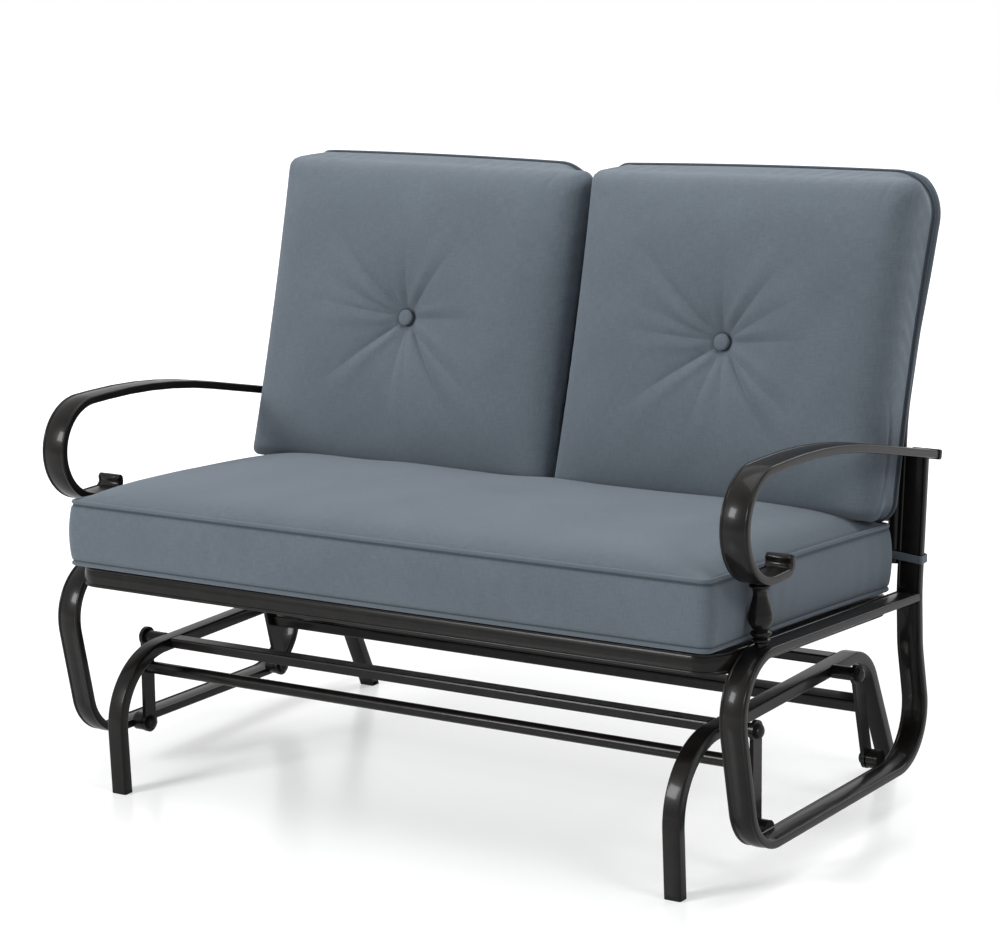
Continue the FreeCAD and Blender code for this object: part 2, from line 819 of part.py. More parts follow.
def crown_cap(width, length, corner, pull, lean, centre, crown):
    # domed face: the outline shrinks as it rises, steeply at first
    sections = []
    reach = min(width, length) / 2
    for share, rise in ((0.0, 0.0), (0.16, 0.5), (0.42, 0.86), (0.74, 1.0)):
        inset = reach * share
        outline = soft_outline(width - 2 * inset, length - 2 * inset,
                               corner * (1 - 0.5 * share), pull * (1 - share))
        sections.append(leaned(outline, lean, centre, crown * rise))
    return Part.makeLoft(sections, True, True)


def seat_cushion():
    width = seat_cushion_width
    length = seat_cushion_depth
    corner = seat_cushion_corner
    pull = seat_cushion_pull
    lean = 90.0
    height = seat_cushion_edge_height
    low = FreeCAD.Vector(0, length / 2, 0)
    edge_width = width - 2 * seat_cushion_edge_inset
    edge_length = length - 2 * seat_cushion_edge_inset
    edge = soft_outline(edge_width, edge_length, corner, pull)
    wall = Part.makeLoft([
        leaned(edge.copy(), lean, low, 0),
        leaned(soft_outline(width, length, corner, pull), lean, low, height / 2),
        leaned(edge.copy(), lean, low, height),
    ], True, True)
    top = low + FreeCAD.Vector(0, 0, height)
    cap = crown_cap(edge_width, edge_length, corner, pull, lean, top, seat_cushion_crown)
    cushion = wall.fuse(cap)
    cushion.rotate(FreeCAD.Vector(0, 0, 0), X_AXIS, -seat_rail_slope)
    seat_height = seat_line(seat_cushion_front) - apron_drop + soft_gap
    cushion.translate(place(0, seat_cushion_front, seat_height))
    return cushion


def between(low, high):
    # middle, length and backward lean of a side line
    line = high - low
    return (low + high) * 0.5, line.Length, math.degrees(math.atan2(line.y, line.z))


def out_of_lean(lean):
    angle = math.radians(lean)
    return FreeCAD.Vector(0, -math.cos(angle), math.sin(angle))


rear_low = flat(frame_depth - back_cushion_rear_low_setback, back_cushion_rear_low_height)
rear_high = flat(frame_depth - back_cushion_rear_top_setback, back_cushion_top_height)
front_low = flat(frame_depth - back_cushion_front_low_setback, back_cushion_front_low_height)
front_high = flat(frame_depth - back_cushion_front_top_setback, back_cushion_top_height)
front_centre, front_length, front_lean = between(front_low, front_high)
tuft_out = out_of_lean(front_lean)
tuft_floor = front_centre + tuft_out * (back_cushion_crown - tuft_depth)


def tuft_hollow():
    # funnel pressed into the front, flat at the button and rolling over towards its rim
    rim = tuft_depth + tuft_rim_rise
    start = button_diameter / 2 + 1
    span = tuft_radius - start
    profile = [(0, 0), (start, 0), (start + 0.12 * span, 0.34 * rim), (start + 0.34 * span, 0.66 * rim),
               (start + 0.62 * span, 0.87 * rim), (tuft_radius, rim), (0, rim)]
    points = [FreeCAD.Vector(radius, 0, height) for radius, height in profile]
    funnel = turned(points, FreeCAD.Vector(0, 0, 0), FreeCAD.Vector(0, 0, 1))
    funnel.rotate(FreeCAD.Vector(0, 0, 0), X_AXIS, 90 - front_lean)
    funnel.translate(tuft_floor)
    return funnel


def back_cushion(start_x, end_x):
    width = end_x - start_x
    pull = back_cushion_pull
    roll = back_cushion_roll
    sections = []
    # from the piped seam forward, the outline shrinks over the roll
    for share, inset in ((0.0, 0.0), (0.62, 0.0), (0.88, 0.3), (1.0, 1.0)):
        low = rear_low + (front_low - rear_low) * share
        high = rear_high + (front_high - rear_high) * share
        middle, length, lean = between(low, high)
        corner = back_cushion_corner + (back_cushion_front_corner - back_cushion_corner) * share
        outline = soft_outline(width - 2 * roll * inset, length - 2 * roll * inset, corner, pull)
        sections.append(leaned(outline, lean, middle, 0))
    body = Part.makeLoft(sections, True, True)
    front = crown_cap(width - 2 * roll, front_length - 2 * roll, back_cushion_front_corner, pull,
                      front_lean, front_centre, back_cushion_crown)
    rear_centre, rear_length, rear_lean = between(rear_low, rear_high)
    rear = crown_cap(width, rear_length, back_cushion_corner, pull, rear_lean, rear_centre,
                     -back_cushion_rear_crown)
    cushion = body.fuse(front).fuse(rear).cut(tuft_hollow())
    cushion.translate(X_AXIS * ((start_x + end_x) / 2))
    return cushion


def tuft_button(x):
    base = tuft_floor + tuft_out * soft_gap + X_AXIS * x
    return dome(base, tuft_out, button_diameter, button_height / 3, button_height * 2 / 3)


def cushion_tie():
    # fabric band round the upright and the back frame's foot, with a tail to the cushion
    low = back_foot_height + tie_rise
    middle = low + tie_width / 2
    inner_x = back_tube_x - back_tube_diameter / 2 - soft_gap
    outer_x = side_frame_outer_width / 2 + soft_gap
    strap_front = upright_depth + (low - upright_lean_height) * tan(upright_lean) - strap_thickness / back_foot_cosine
    post_front = back_axis_depth(low) - back_tube_diameter / 2 / back_foot_cosine
    near = min(strap_front, post_front) - soft_gap
    far = back_axis_depth(low + tie_width) + back_tube_diameter / 2 / back_foot_cosine + soft_gap
    cloth = tie_thickness
    band = slab((inner_x - cloth, near - cloth, low), (outer_x + cloth, far + cloth, low + tie_width))
    upright_edges = [edge for edge in band.Edges if abs(edge.tangentAt(0).z) > 0.9]
    band = band.makeFillet(2 * cloth, upright_edges)
    hole = slab((inner_x, near, low - 1), (outer_x, far, low + tie_width + 1))
    inner_edges = [edge for edge in hole.Edges if abs(edge.tangentAt(0).z) > 0.9]
    band = band.cut(hole.makeFillet(cloth, inner_edges))
    rise = middle - (seat_line(seat_cushion_front) - apron_drop)
    rear = seat_cushion_front + seat_cushion_depth * math.cos(math.radians(seat_rail_slope))
    tail_front = rear + tan(seat_rail_slope) * (rise + tan(seat_rail_slope) * seat_cushion_depth) + soft_gap
    tail_x = inner_x + 2 * cloth
    into_corner = tail_x + cloth / 2 - (seat_cushion_width / 2 - seat_cushion_corner)
    tail_front -= seat_cushion_corner - math.sqrt(seat_cushion_corner ** 2 - into_corner ** 2)
    tail = slab((tail_x, tail_front, low), (tail_x + cloth, near - cloth, low + tie_width))
    return band.fuse(tail).removeSplitter()


def main():
    os.makedirs("parts", exist_ok=True)

    side = base_side_frame()
    save("base_side_frame_left", side)
    save("base_side_frame_right", mirror(side))
    save("foot_caps", foot_caps())
    save("base_front_cross_tube", base_cross_tube(front_cross_depth))
    save("base_rear_cross_tube", base_cross_tube(rear_cross_depth))
    pivots = (front_pivot_depth, rear_pivot_depth)
    save("upper_pivot_spacers", both_sides([upper_spacer(depth) for depth in pivots]))
    save("upper_pivot_bolts", both_sides([upper_bolt(depth) for depth in pivots]))

    front_link = link(front_lower, False)
    save("front_link_left", front_link)
    save("front_link_right", mirror(front_link))
    front_bushes = [bush((front_pivot_depth, upper_pivot_height), pivot_running_gap),
                    bush(front_lower, pivot_running_gap)]
    save("front_link_bushes", both_sides(front_bushes))
    save("front_swing_bar", front_swing_bar())

    rear_link = link(rear_lower, True)
    save("rear_link_left", rear_link)
    save("rear_link_right", mirror(rear_link))
    rear_bushes = [bush((rear_pivot_depth, upper_pivot_height), pivot_running_gap),
                   bush(rear_lower, open_pivot_gap)]
    save("rear_link_bushes", both_sides(rear_bushes))
    save("rear_swing_bar", rear_swing_bar())

    loop = side_frame().cut(onto_back(low_shaft()))
    save("side_frame_left", loop)
    save("side_frame_right", mirror(loop))
    lower_pivots = (front_lower, rear_lower)
    save("lower_pivot_bosses", both_sides([lower_boss(spot, loop) for spot in lower_pivots]))
    save("lower_pivot_bolts", both_sides([lower_bolt(spot) for spot in lower_pivots]))
    arm = armrest()
    save("armrest_left", arm)
    save("armrest_right", mirror(arm))
    save("arm_end_caps", both_sides([arm_end_cap()]))
    post = arm_post(loop, arm)
    save("arm_post_left", post)
    save("arm_post_right", mirror(post))

    save("seat_frame", onto_seat(seat_frame(), apron_drop + apron_height / 2))
    save("seat_slats", onto_seat(seat_slats(), apron_drop + seat_slat_drop))
    save("seat_stay", onto_seat(seat_stay(), apron_drop + seat_slat_drop + seat_slat_thickness))

    hoop = back_hoop()
    rail = back_lower_rail(hoop)
    slats = back_slats(hoop, rail)
    for shaft in (onto_back(lug_shaft()), onto_back(low_shaft())):
        hoop = hoop.cut(shaft).cut(mirror(shaft))
    save("back_frame", hoop)
    save("back_lower_rail", rail)
    save("back_slats", slats)
    save("back_frame_lugs", both_sides([back_lug().cut(onto_back(lug_shaft()))]))
    save("back_frame_bolts", both_sides(frame_bolts()))

    save("seat_cushion", seat_cushion())
    save("back_cushion_left", back_cushion(back_left_start, back_left_end))
    save("back_cushion_right", back_cushion(back_right_start, back_right_end))
    save("tuft_buttons", group([tuft_button((back_left_start + back_left_end) / 2),
                                tuft_button((back_right_start + back_right_end) / 2)]))
    save("cushion_ties", both_sides([cushion_tie()]))


main()
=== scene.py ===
import json
import math
import bmesh
import bpy
import numpy as np
from mathutils import Matrix, Vector


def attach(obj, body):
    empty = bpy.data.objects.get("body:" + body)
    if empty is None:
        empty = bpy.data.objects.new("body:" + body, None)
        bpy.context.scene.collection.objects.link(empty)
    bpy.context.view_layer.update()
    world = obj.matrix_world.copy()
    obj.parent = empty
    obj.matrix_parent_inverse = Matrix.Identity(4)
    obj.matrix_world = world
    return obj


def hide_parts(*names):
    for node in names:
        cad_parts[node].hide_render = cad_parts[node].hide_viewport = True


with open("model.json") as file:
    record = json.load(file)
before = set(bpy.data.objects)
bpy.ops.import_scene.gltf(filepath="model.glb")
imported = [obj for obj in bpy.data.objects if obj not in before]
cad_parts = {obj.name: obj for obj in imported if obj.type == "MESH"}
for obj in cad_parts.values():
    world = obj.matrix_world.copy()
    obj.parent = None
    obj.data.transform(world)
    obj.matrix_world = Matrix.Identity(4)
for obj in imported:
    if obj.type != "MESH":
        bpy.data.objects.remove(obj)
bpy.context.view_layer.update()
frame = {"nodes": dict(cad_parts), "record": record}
nodes = frame["nodes"]
print("frame loaded")

# Lengths are in metres and angles in degrees. Depths are measured back from the front feet.
bench = {
    "halfDepth": 0.343,  # the frame's origin lies this far behind the front feet
    "sideX": 0.575,  # middle of the side straps
    "innerX": 0.556,  # their inner edge
    "strapThickness": 0.012,
    "seatFront": 0.012,
    "seatHeight": 0.347,  # top of the side loops at the seat's front
    "seatSlope": 4.3,  # down towards the rear
    "uprightDepth": 0.540,
    "uprightBend": 0.310,  # height where an upright starts to lean
    "uprightLean": 7.6,
    "armHeight": 0.588,
    "armLoopLow": 0.428,  # underside of an armrest's loop
    "armFall": 13.6,  # slope of an armrest towards the rear
}
half = bench["halfDepth"]


# Helpers for meshes

def unit(v):
    # a vector divided by its length
    v = np.asarray(v, float)
    return v / np.linalg.norm(v, axis=-1, keepdims=True)


def smooth(x):
    # s-curve from 0 to 1: three times the square less twice the cube
    x = np.clip(x, 0, 1)
    return x * x * (3 - 2 * x)


def tan(degrees):
    # tangent of an angle in degrees
    return math.tan(math.radians(degrees))


def seatLine(depth):
    # height of the seat's slope: it falls by the slope's tangent with the depth
    return bench["seatHeight"] - tan(bench["seatSlope"]) * (depth - bench["seatFront"])


def shell(grid, closeRows=False, caps=True):
    # one closed skin: quads between the neighbours of a grid whose rows close on themselves,
    # with flat ends where asked
    rows, columns = grid.shape[:2]
    r, c = np.meshgrid(np.arange(rows if closeRows else rows - 1), np.arange(columns), indexing="ij")
    below, beside = (r + 1) % rows, (c + 1) % columns
    quads = [r * columns + c, below * columns + c, below * columns + beside, r * columns + beside]
    faces = np.stack(quads, -1).reshape(-1, 4).tolist()
    if caps and not closeRows:
        faces.append(list(range(columns))[::-1])
        faces.append(list(range((rows - 1) * columns, rows * columns)))
    return grid.reshape(-1, 3), faces


def piece(name, skins, material, body, replaced, angle=38, cloth=None):
    # joins closed skins into one object that rides on a body
    points, faces, offset = [], [], 0
    for skinPoints, skinFaces in skins:
        points.append(skinPoints)
        faces += [[i + offset for i in face] for face in skinFaces]
        offset += len(skinPoints)
    mesh = bpy.data.meshes.new(name)
    mesh.from_pydata(np.concatenate(points).tolist(), [], faces)
    if cloth is not None:
        # place on the cloth, and how much painted shade darkens it in seams, creases and folds
        rows = np.concatenate(cloth).astype(np.float32)
        layer = mesh.attributes.new("clothAt", "FLOAT_VECTOR", "POINT")
        layer.data.foreach_set("vector", rows[:, :3].ravel())
        layer = mesh.attributes.new("paintedShade", "FLOAT", "POINT")
        layer.data.foreach_set("value", rows[:, 3].ravel())
    bm = bmesh.new()
    bm.from_mesh(mesh)
    bmesh.ops.remove_doubles(bm, verts=bm.verts, dist=1e-6)
    bmesh.ops.recalc_face_normals(bm, faces=bm.faces)
    bm.to_mesh(mesh)
    bm.free()
    mesh.shade_smooth()
    mesh.set_sharp_from_angle(angle=math.radians(angle))
    mesh.materials.append(material)
    obj = bpy.data.objects.new(name, mesh)
    bpy.context.scene.collection.objects.link(obj)
    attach(obj, body)
    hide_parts(*replaced)
    return obj


def roundedPath(corners, radii, step=3.0):
    # straight stretches joined by arcs: an arc starts radius * tan(turn / 2) before its corner and
    # turns about its centre in steps of a few degrees; gives the points and the heading at each
    corners = np.array(corners, float)
    start = corners[0]
    points = [start[None]]
    heads = [unit(corners[1] - corners[0])[None]]
    for index, radius in enumerate(radii):
        corner = corners[index + 1]
        into, out = unit(corner - corners[index]), unit(corners[index + 2] - corner)
        turn = math.atan2(into[0] * out[1] - into[1] * out[0], float(into @ out))
        reach = min(radius * math.tan(abs(turn) / 2), np.linalg.norm(corner - start))
        radius = reach / math.tan(abs(turn) / 2)
        first = corner - into * reach
        centre = first + np.array([-into[1], into[0]]) * math.copysign(radius, turn)
        count = max(3, int(abs(math.degrees(turn)) / step) + 1)
        a = np.linspace(0, turn, count)
        spin = np.stack([np.cos(a), -np.sin(a), np.sin(a), np.cos(a)], -1).reshape(-1, 2, 2)
        points.append(centre + spin @ (first - centre))
        heads.append(spin @ into)
        start = corner + out * reach
    points.append(corners[-1][None])
    heads.append(unit(corners[-1] - corners[-2])[None])
    points, heads = np.concatenate(points), np.concatenate(heads)
    keep = np.concatenate([[True], np.linalg.norm(np.diff(points, axis=0), axis=1) > 2e-5])
    return points[keep], heads[keep]


def sweep(path, heads, profile, place):
    # profile points are (across, out): the path point moves by out along the heading turned a quarter
    # turn to the right, and place(across, a, b) puts the result into the room
    out = np.stack([heads[:, 1], -heads[:, 0]], 1)
    a = path[:, None, 0] + out[:, None, 0] * profile[None, :, 1]
    b = path[:, None, 1] + out[:, None, 1] * profile[None, :, 1]
    return place(np.broadcast_to(profile[None, :, 0], a.shape), a, b)


def lathe(outline, centre, axis, count=48):
    # each outline point (radius, distance along the axis) becomes a circle about the axis
    axis = unit(np.array(axis, float))
    side = unit(np.cross(axis, [0.31, 0.52, 0.8]))
    third = np.cross(axis, side)
    a = np.linspace(0, 2 * math.pi, count, endpoint=False)
    ring = np.cos(a)[:, None] * side + np.sin(a)[:, None] * third
    return np.array(centre) + outline[:, 1, None, None] * axis + outline[:, 0, None, None] * ring[None]


def curveThrough(points, count):
    # line through (radius, height) points: between two of them, half a straight step and half an s-curve
    points = np.array(points, float)
    s = np.linspace(0, len(points) - 1, count)
    i = np.minimum(s.astype(int), len(points) - 2)
    f = smooth(s - i)[:, None] * 0.5 + (s - i)[:, None] * 0.5
    return points[i] * (1 - f) + points[i + 1] * f


def mirrored(skin):
    # the same skin on the other side of the bench: x changes its sign
    return skin[0] * np.array([-1.0, 1, 1]), skin[1]


# Materials

def newMaterial(name):
    # a material with its node tree and its shader
    material = bpy.data.materials.new(name)
    material.use_nodes = True
    return material, material.node_tree, material.node_tree.nodes["Principled BSDF"]


def setInputs(node, inputs):
    # the values of a node's unlinked sockets
    for socket, value in inputs.items():
        node.inputs[socket].default_value = value


def add(tree, kind, inputs=None, **settings):
    # a new shader node with its settings and the values of its sockets
    node = tree.nodes.new(kind)
    for setting, value in settings.items():
        setattr(node, setting, value)
    setInputs(node, inputs or {})
    return node


def toneRamp(tree, dark, light, low, high):
    # colour that runs evenly from dark at low to light at high
    ramp = tree.nodes.new("ShaderNodeValToRGB")
    for stop, place, colour in zip(ramp.color_ramp.elements, (low, high), (dark, light)):
        stop.position = place
        stop.color = (*colour, 1)
    return ramp


def seenAsWhite(tree):
    # 1 for a ray from the camera, off a gloss or through glass, and 0 for the light that falls on the bench
    rays = tree.nodes.new("ShaderNodeLightPath")
    share = rays.outputs["Is Camera Ray"]
    for other in ("Is Glossy Ray", "Is Transmission Ray"):
        either = add(tree, "ShaderNodeMath", operation="MAXIMUM")
        tree.links.new(share, either.inputs[0])
        tree.links.new(rays.outputs[other], either.inputs[1])
        share = either.outputs[0]
    return share


def speckleGroup():
    # cured powder: fine noise as a height and broad noise as patches, both in object space
    group = bpy.data.node_groups.new("powderSpeckle", "ShaderNodeTree")
    for socket in ("Fine Scale", "Broad Scale"):
        group.interface.new_socket(socket, in_out="INPUT", socket_type="NodeSocketFloat")
    for socket in ("Height", "Patch"):
        group.interface.new_socket(socket, in_out="OUTPUT", socket_type="NodeSocketFloat")
    place = group.nodes.new("ShaderNodeTexCoord")
    start = group.nodes.new("NodeGroupInput")
    end = group.nodes.new("NodeGroupOutput")
    for scale, socket, detail in (("Fine Scale", "Height", 2.0), ("Broad Scale", "Patch", 3.0)):
        noise = add(group, "ShaderNodeTexNoise", {"Detail": detail})
        group.links.new(start.outputs[scale], noise.inputs["Scale"])
        group.links.new(place.outputs["Object"], noise.inputs["Vector"])
        group.links.new(noise.outputs["Fac"], end.inputs[socket])
    return group


powderSpeckle = speckleGroup()

# colours are linear; rough is the mean roughness and drift how far it wanders to either side
coatings = {
    "framePaint": {"dark": (0.0054, 0.0046, 0.0042), "light": (0.0094, 0.0081, 0.0074), "rough": 0.31,
                   "drift": 0.05, "bump": 0.25, "gloss": {"Coat Weight": 0.13, "Coat Roughness": 0.09}},
    "fastenerPaint": {"dark": (0.016, 0.015, 0.014), "light": (0.028, 0.026, 0.025), "rough": 0.3,
                      "drift": 0.06, "bump": 0.15, "gloss": {}},
    "bushPlastic": {"dark": (0.012, 0.012, 0.012), "light": (0.018, 0.018, 0.018), "rough": 0.55,
                    "drift": 0.05, "bump": 0.3, "gloss": {}},
    "footPlastic": {"dark": (0.009, 0.009, 0.009), "light": (0.014, 0.014, 0.014), "rough": 0.5,
                    "drift": 0.06, "bump": 0.5, "gloss": {}},
}


def coated(name):
    # painted or moulded surface: colour and roughness drift with the broad patches, over a fine bump
    look = coatings[name]
    material, tree, shader = newMaterial(name)
    link = tree.links.new
    speckle = add(tree, "ShaderNodeGroup", node_tree=powderSpeckle)
    setInputs(speckle, {"Fine Scale": 900.0, "Broad Scale": 38.0})
    tone = toneRamp(tree, look["dark"], look["light"], 0.3, 0.7)
    limits = {"To Min": look["rough"] - look["drift"], "To Max": look["rough"] + look["drift"]}
    rough = add(tree, "ShaderNodeMapRange", limits)
    height = add(tree, "ShaderNodeBump", {"Strength": look["bump"], "Distance": 0.0002})
    setInputs(shader, {"Specular IOR Level": 0.10, **look["gloss"]})
    link(speckle.outputs["Patch"], tone.inputs["Fac"])
    link(speckle.outputs["Patch"], rough.inputs["Value"])
    link(speckle.outputs["Height"], height.inputs["Height"])
    link(tone.outputs["Color"], shader.inputs["Base Color"])
    link(rough.outputs["Result"], shader.inputs["Roughness"])
    link(height.outputs["Normal"], shader.inputs["Normal"])
    return material


fabric = {
    "dark": (0.082, 0.101, 0.120),
    "light": (0.122, 0.147, 0.171),
    "tintInPaintedShade": (0.16, 0.18, 0.22),  # what full painted shade multiplies the colour by
    "threadPitch": 0.0012,
    "slubs": ((60.0, 900.0, 60.0), (900.0, 60.0, 60.0)),  # noise scale along X, Y and Z for each thread
    "patchScale": 9.0,
    "weaveBump": {"Strength": 0.35, "Distance": 0.0003},
    "slubBump": {"Strength": 0.2, "Distance": 0.0006},
    "surface": {"Roughness": 0.9, "Specular IOR Level": 0.25, "Sheen Weight": 0.25, "Sheen Roughness": 0.6,
                "Sheen Tint": (0.72, 0.8, 0.88, 1)},
}


def wovenFabric():
    # plain weave: a sine along the warp times a sine along the weft, in the cloth's own coordinates
    material, tree, shader = newMaterial("slateFabric")
    link = tree.links.new
    setInputs(shader, fabric["surface"])
    cloth = add(tree, "ShaderNodeAttribute", attribute_name="clothAt")
    parts = tree.nodes.new("ShaderNodeSeparateXYZ")
    link(cloth.outputs["Vector"], parts.inputs["Vector"])
    cross = add(tree, "ShaderNodeMath", operation="MULTIPLY")
    for index, axis in enumerate(("X", "Y")):
        turn = add(tree, "ShaderNodeMath", {1: 2 * math.pi / fabric["threadPitch"]}, operation="MULTIPLY")
        wave = add(tree, "ShaderNodeMath", operation="SINE")
        link(parts.outputs[axis], turn.inputs[0])
        link(turn.outputs[0], wave.inputs[0])
        link(wave.outputs[0], cross.inputs[index])
    # slubs are noise stretched along each thread, and the dye took unevenly in soft patches
    slubs = add(tree, "ShaderNodeMath", operation="ADD")
    for index, stretch in enumerate(fabric["slubs"]):
        scaled = add(tree, "ShaderNodeVectorMath", {1: stretch}, operation="MULTIPLY")
        streak = add(tree, "ShaderNodeTexNoise", {"Scale": 1.0, "Detail": 2.0})
        link(cloth.outputs["Vector"], scaled.inputs[0])
        link(scaled.outputs[0], streak.inputs["Vector"])
        link(streak.outputs["Fac"], slubs.inputs[index])
    patch = add(tree, "ShaderNodeTexNoise", {"Scale": fabric["patchScale"], "Detail": 4.0})
    total = add(tree, "ShaderNodeMath", {1: 0.6}, operation="MULTIPLY_ADD")
    share = add(tree, "ShaderNodeMapRange", {"From Min": 0.6, "From Max": 2.0})
    tone = toneRamp(tree, fabric["dark"], fabric["light"], 0.35, 0.95)
    link(cloth.outputs["Vector"], patch.inputs["Vector"])
    link(patch.outputs["Fac"], total.inputs[0])
    link(slubs.outputs[0], total.inputs[2])
    link(total.outputs[0], share.inputs["Value"])
    link(share.outputs["Result"], tone.inputs["Fac"])
    # painted shade: the attribute multiplies the colour towards the shade tint
    crease = add(tree, "ShaderNodeAttribute", attribute_name="paintedShade")
    darker = add(tree, "ShaderNodeMix", data_type="RGBA", blend_type="MULTIPLY")
    colourIn = [socket for socket in darker.inputs if socket.type == "RGBA"]
    colourOut = [socket for socket in darker.outputs if socket.type == "RGBA"][0]
    colourIn[1].default_value = (*fabric["tintInPaintedShade"], 1)
    link(crease.outputs["Fac"], darker.inputs[0])
    link(tone.outputs["Color"], colourIn[0])
    link(colourOut, shader.inputs["Base Color"])
    weave = add(tree, "ShaderNodeBump", fabric["weaveBump"])
    soft = add(tree, "ShaderNodeBump", fabric["slubBump"])
    link(cross.outputs[0], weave.inputs["Height"])
    link(slubs.outputs[0], soft.inputs["Height"])
    link(weave.outputs["Normal"], soft.inputs["Normal"])
    link(soft.outputs["Normal"], shader.inputs["Normal"])
    return material


framePaint = coated("framePaint")
slateFabric = wovenFabric()
slotMaterial = {"dark_frame_paint": framePaint, "dark_fasteners": coated("fastenerPaint"),
                "bush_plastic": coated("bushPlastic"), "foot_plastic": coated("footPlastic"),
                "cushion_fabric": slateFabric}
for part in frame["record"]["subparts"]:
    data = nodes[part["node"]].data
    data.materials.clear()
    data.materials.append(slotMaterial[part["material_slot"]])
print("materials made")


# Sections of straps, bars and tubes, as points (across, out)

# radius of the edge bead, depth of the groove beside it and height of the crown between the grooves
strapFace = {"bead": 0.0027, "groove": 0.0013, "crown": 0.0017}


def beadProfile(width, thickness, count=7):
    # strap with an arc as a bead along each edge of both wide faces, and a parabola that crowns the middle
    bead, groove, crown = strapFace["bead"], strapFace["groove"], strapFace["crown"]
    a = np.linspace(-math.acos(1 - groove / bead), math.pi / 2, count)
    right = np.stack([width / 2 - bead + bead * np.sin(a), bead * np.cos(a) - bead], 1)
    middle = right[0, 0] * np.linspace(-1, 1, 13)[1:-1]
    rise = crown * (1 - (middle / right[0, 0]) ** 2) - groove
    right = np.concatenate([right, np.stack([right[::-1, 0], -thickness - right[::-1, 1]], 1)])
    left = np.stack([-right[::-1, 0], right[::-1, 1]], 1)
    under, over = np.stack([-middle, -thickness - rise], 1), np.stack([middle, rise], 1)
    return np.concatenate([right, under, left, over])


def barProfile(width, thickness, radius, count=6):
    # rectangle with a quarter circle at each corner, whose outer side lies on the path
    a = np.linspace(0, math.pi / 2, count)
    arc = np.stack([width / 2 - radius + radius * np.sin(a), radius * np.cos(a) - radius], 1)
    right = np.concatenate([arc, np.stack([arc[::-1, 0], -thickness - arc[::-1, 1]], 1)])
    return np.concatenate([right, np.stack([-right[::-1, 0], right[::-1, 1]], 1)])


def tubeProfile(radius, count=32):
    # circle about the path
    a = np.linspace(0, 2 * math.pi, count, endpoint=False)
    return radius * np.stack([np.sin(a), np.cos(a)], 1)


# Steel frame: straps and tubes carried along their bent outlines

def sideView(x):
    # a path drawn in (depth, height) stands at x
    def place(across, a, b):
        return np.stack([x + across, a - half, b], -1)
    return place


sideFrame = {
    "width": 0.038,
    "topRear": 0.534,  # depth where the loop's top meets the upright
    "kneeHeight": 0.243,  # where the front starts to slant in
    "frontSlant": 9.2,
    "bottomHeight": 0.0615,
    "bottomSlope": 1.2,
    "bottomRear": 0.570,
    "heelHeight": 0.228,
    "armRun": 0.3117,  # how far behind its bend the armrest meets the upright
    "belowArm": 0.007,
    "bends": [0.088, 0.1, 0.076, 0.088, 0.15, 0.26],
}


def sideFrameSkin():
    # one strap: seat rail, front, bottom and upright, joined by round bends
    depth, front = bench["uprightDepth"], bench["seatFront"]
    bottom = sideFrame["bottomHeight"]
    bottomFront = front + (sideFrame["kneeHeight"] - bottom) * tan(sideFrame["frontSlant"])
    rearHeight = bottom - (sideFrame["bottomRear"] - bottomFront) * tan(sideFrame["bottomSlope"])
    armUnder = bench["armHeight"] - tan(bench["armFall"]) * sideFrame["armRun"] - sideFrame["belowArm"]
    rise = armUnder - bench["uprightBend"]
    corners = [(sideFrame["topRear"], seatLine(sideFrame["topRear"])), (front, bench["seatHeight"]),
               (front, sideFrame["kneeHeight"]), (bottomFront, bottom),
               (sideFrame["bottomRear"], rearHeight), (depth, sideFrame["heelHeight"]),
               (depth, bench["uprightBend"]), (depth + rise * tan(bench["uprightLean"]), armUnder)]
    path, heads = roundedPath(corners, sideFrame["bends"])
    profile = beadProfile(sideFrame["width"], bench["strapThickness"])
    return shell(sweep(path, heads, profile, sideView(bench["sideX"])))


armrest = {
    "middleX": 1.2065 / 2 - 0.021,
    "width": 0.042,
    "frontDepth": 0.015,
    "loopBend": 0.080,
    "topBend": 1.08,  # radius of the long bend where the top starts to fall
    "topAngle": 6.8,  # half of what that bend turns
    "topFlat": 0.030,
    "rearDrop": 0.090,  # how far below the top the rear end lies
    "lipFront": (0.15, 0.428),
    "lipTop": (0.146, 0.452),
    "lipBend": 0.019,
    "roundEnd": 0.006,  # how far the closing end reaches
}


def armSkin():
    # strap from the upright over a long bend, round the loop and up into the lip
    top, front = bench["armHeight"], armrest["frontDepth"]
    rearHeight = top - armrest["rearDrop"] - bench["uprightBend"]
    endDepth = bench["uprightDepth"] + tan(bench["uprightLean"]) * rearHeight + bench["strapThickness"]
    bendRun = armrest["loopBend"] + armrest["topBend"] * tan(armrest["topAngle"]) + armrest["topFlat"]
    endHeight = top - tan(bench["armFall"]) * (endDepth - front - bendRun)
    corners = [(endDepth, endHeight), (front + bendRun, top), (front, top), (front, bench["armLoopLow"]),
               armrest["lipFront"], armrest["lipTop"]]
    bends = [armrest["topBend"], armrest["loopBend"], armrest["loopBend"], armrest["lipBend"]]
    path, heads = roundedPath(corners, bends, 2.5)
    profile = beadProfile(armrest["width"], bench["strapThickness"])
    rows = sweep(path, heads, profile, sideView(armrest["middleX"]))
    # the lip closes in a quarter circle: the thickness shrinks by the cosine and reaches on by the sine
    middle = rows[-1].mean(0)
    ahead = np.array([0, heads[-1][0], heads[-1][1]])
    thin = np.array([0, ahead[2], -ahead[1]])
    section = rows[-1] - middle
    section = section - (section @ ahead)[:, None] * ahead
    thickness = (section @ thin)[:, None] * thin
    turn = np.linspace(0, 1.45, 7)[1:, None, None]
    wide = (section - thickness) * (1 - 0.1 * (1 - np.cos(turn)))
    rings = middle + wide + thickness * np.cos(turn) + ahead * armrest["roundEnd"] * np.sin(turn)
    return shell(np.concatenate([rows, rings]))


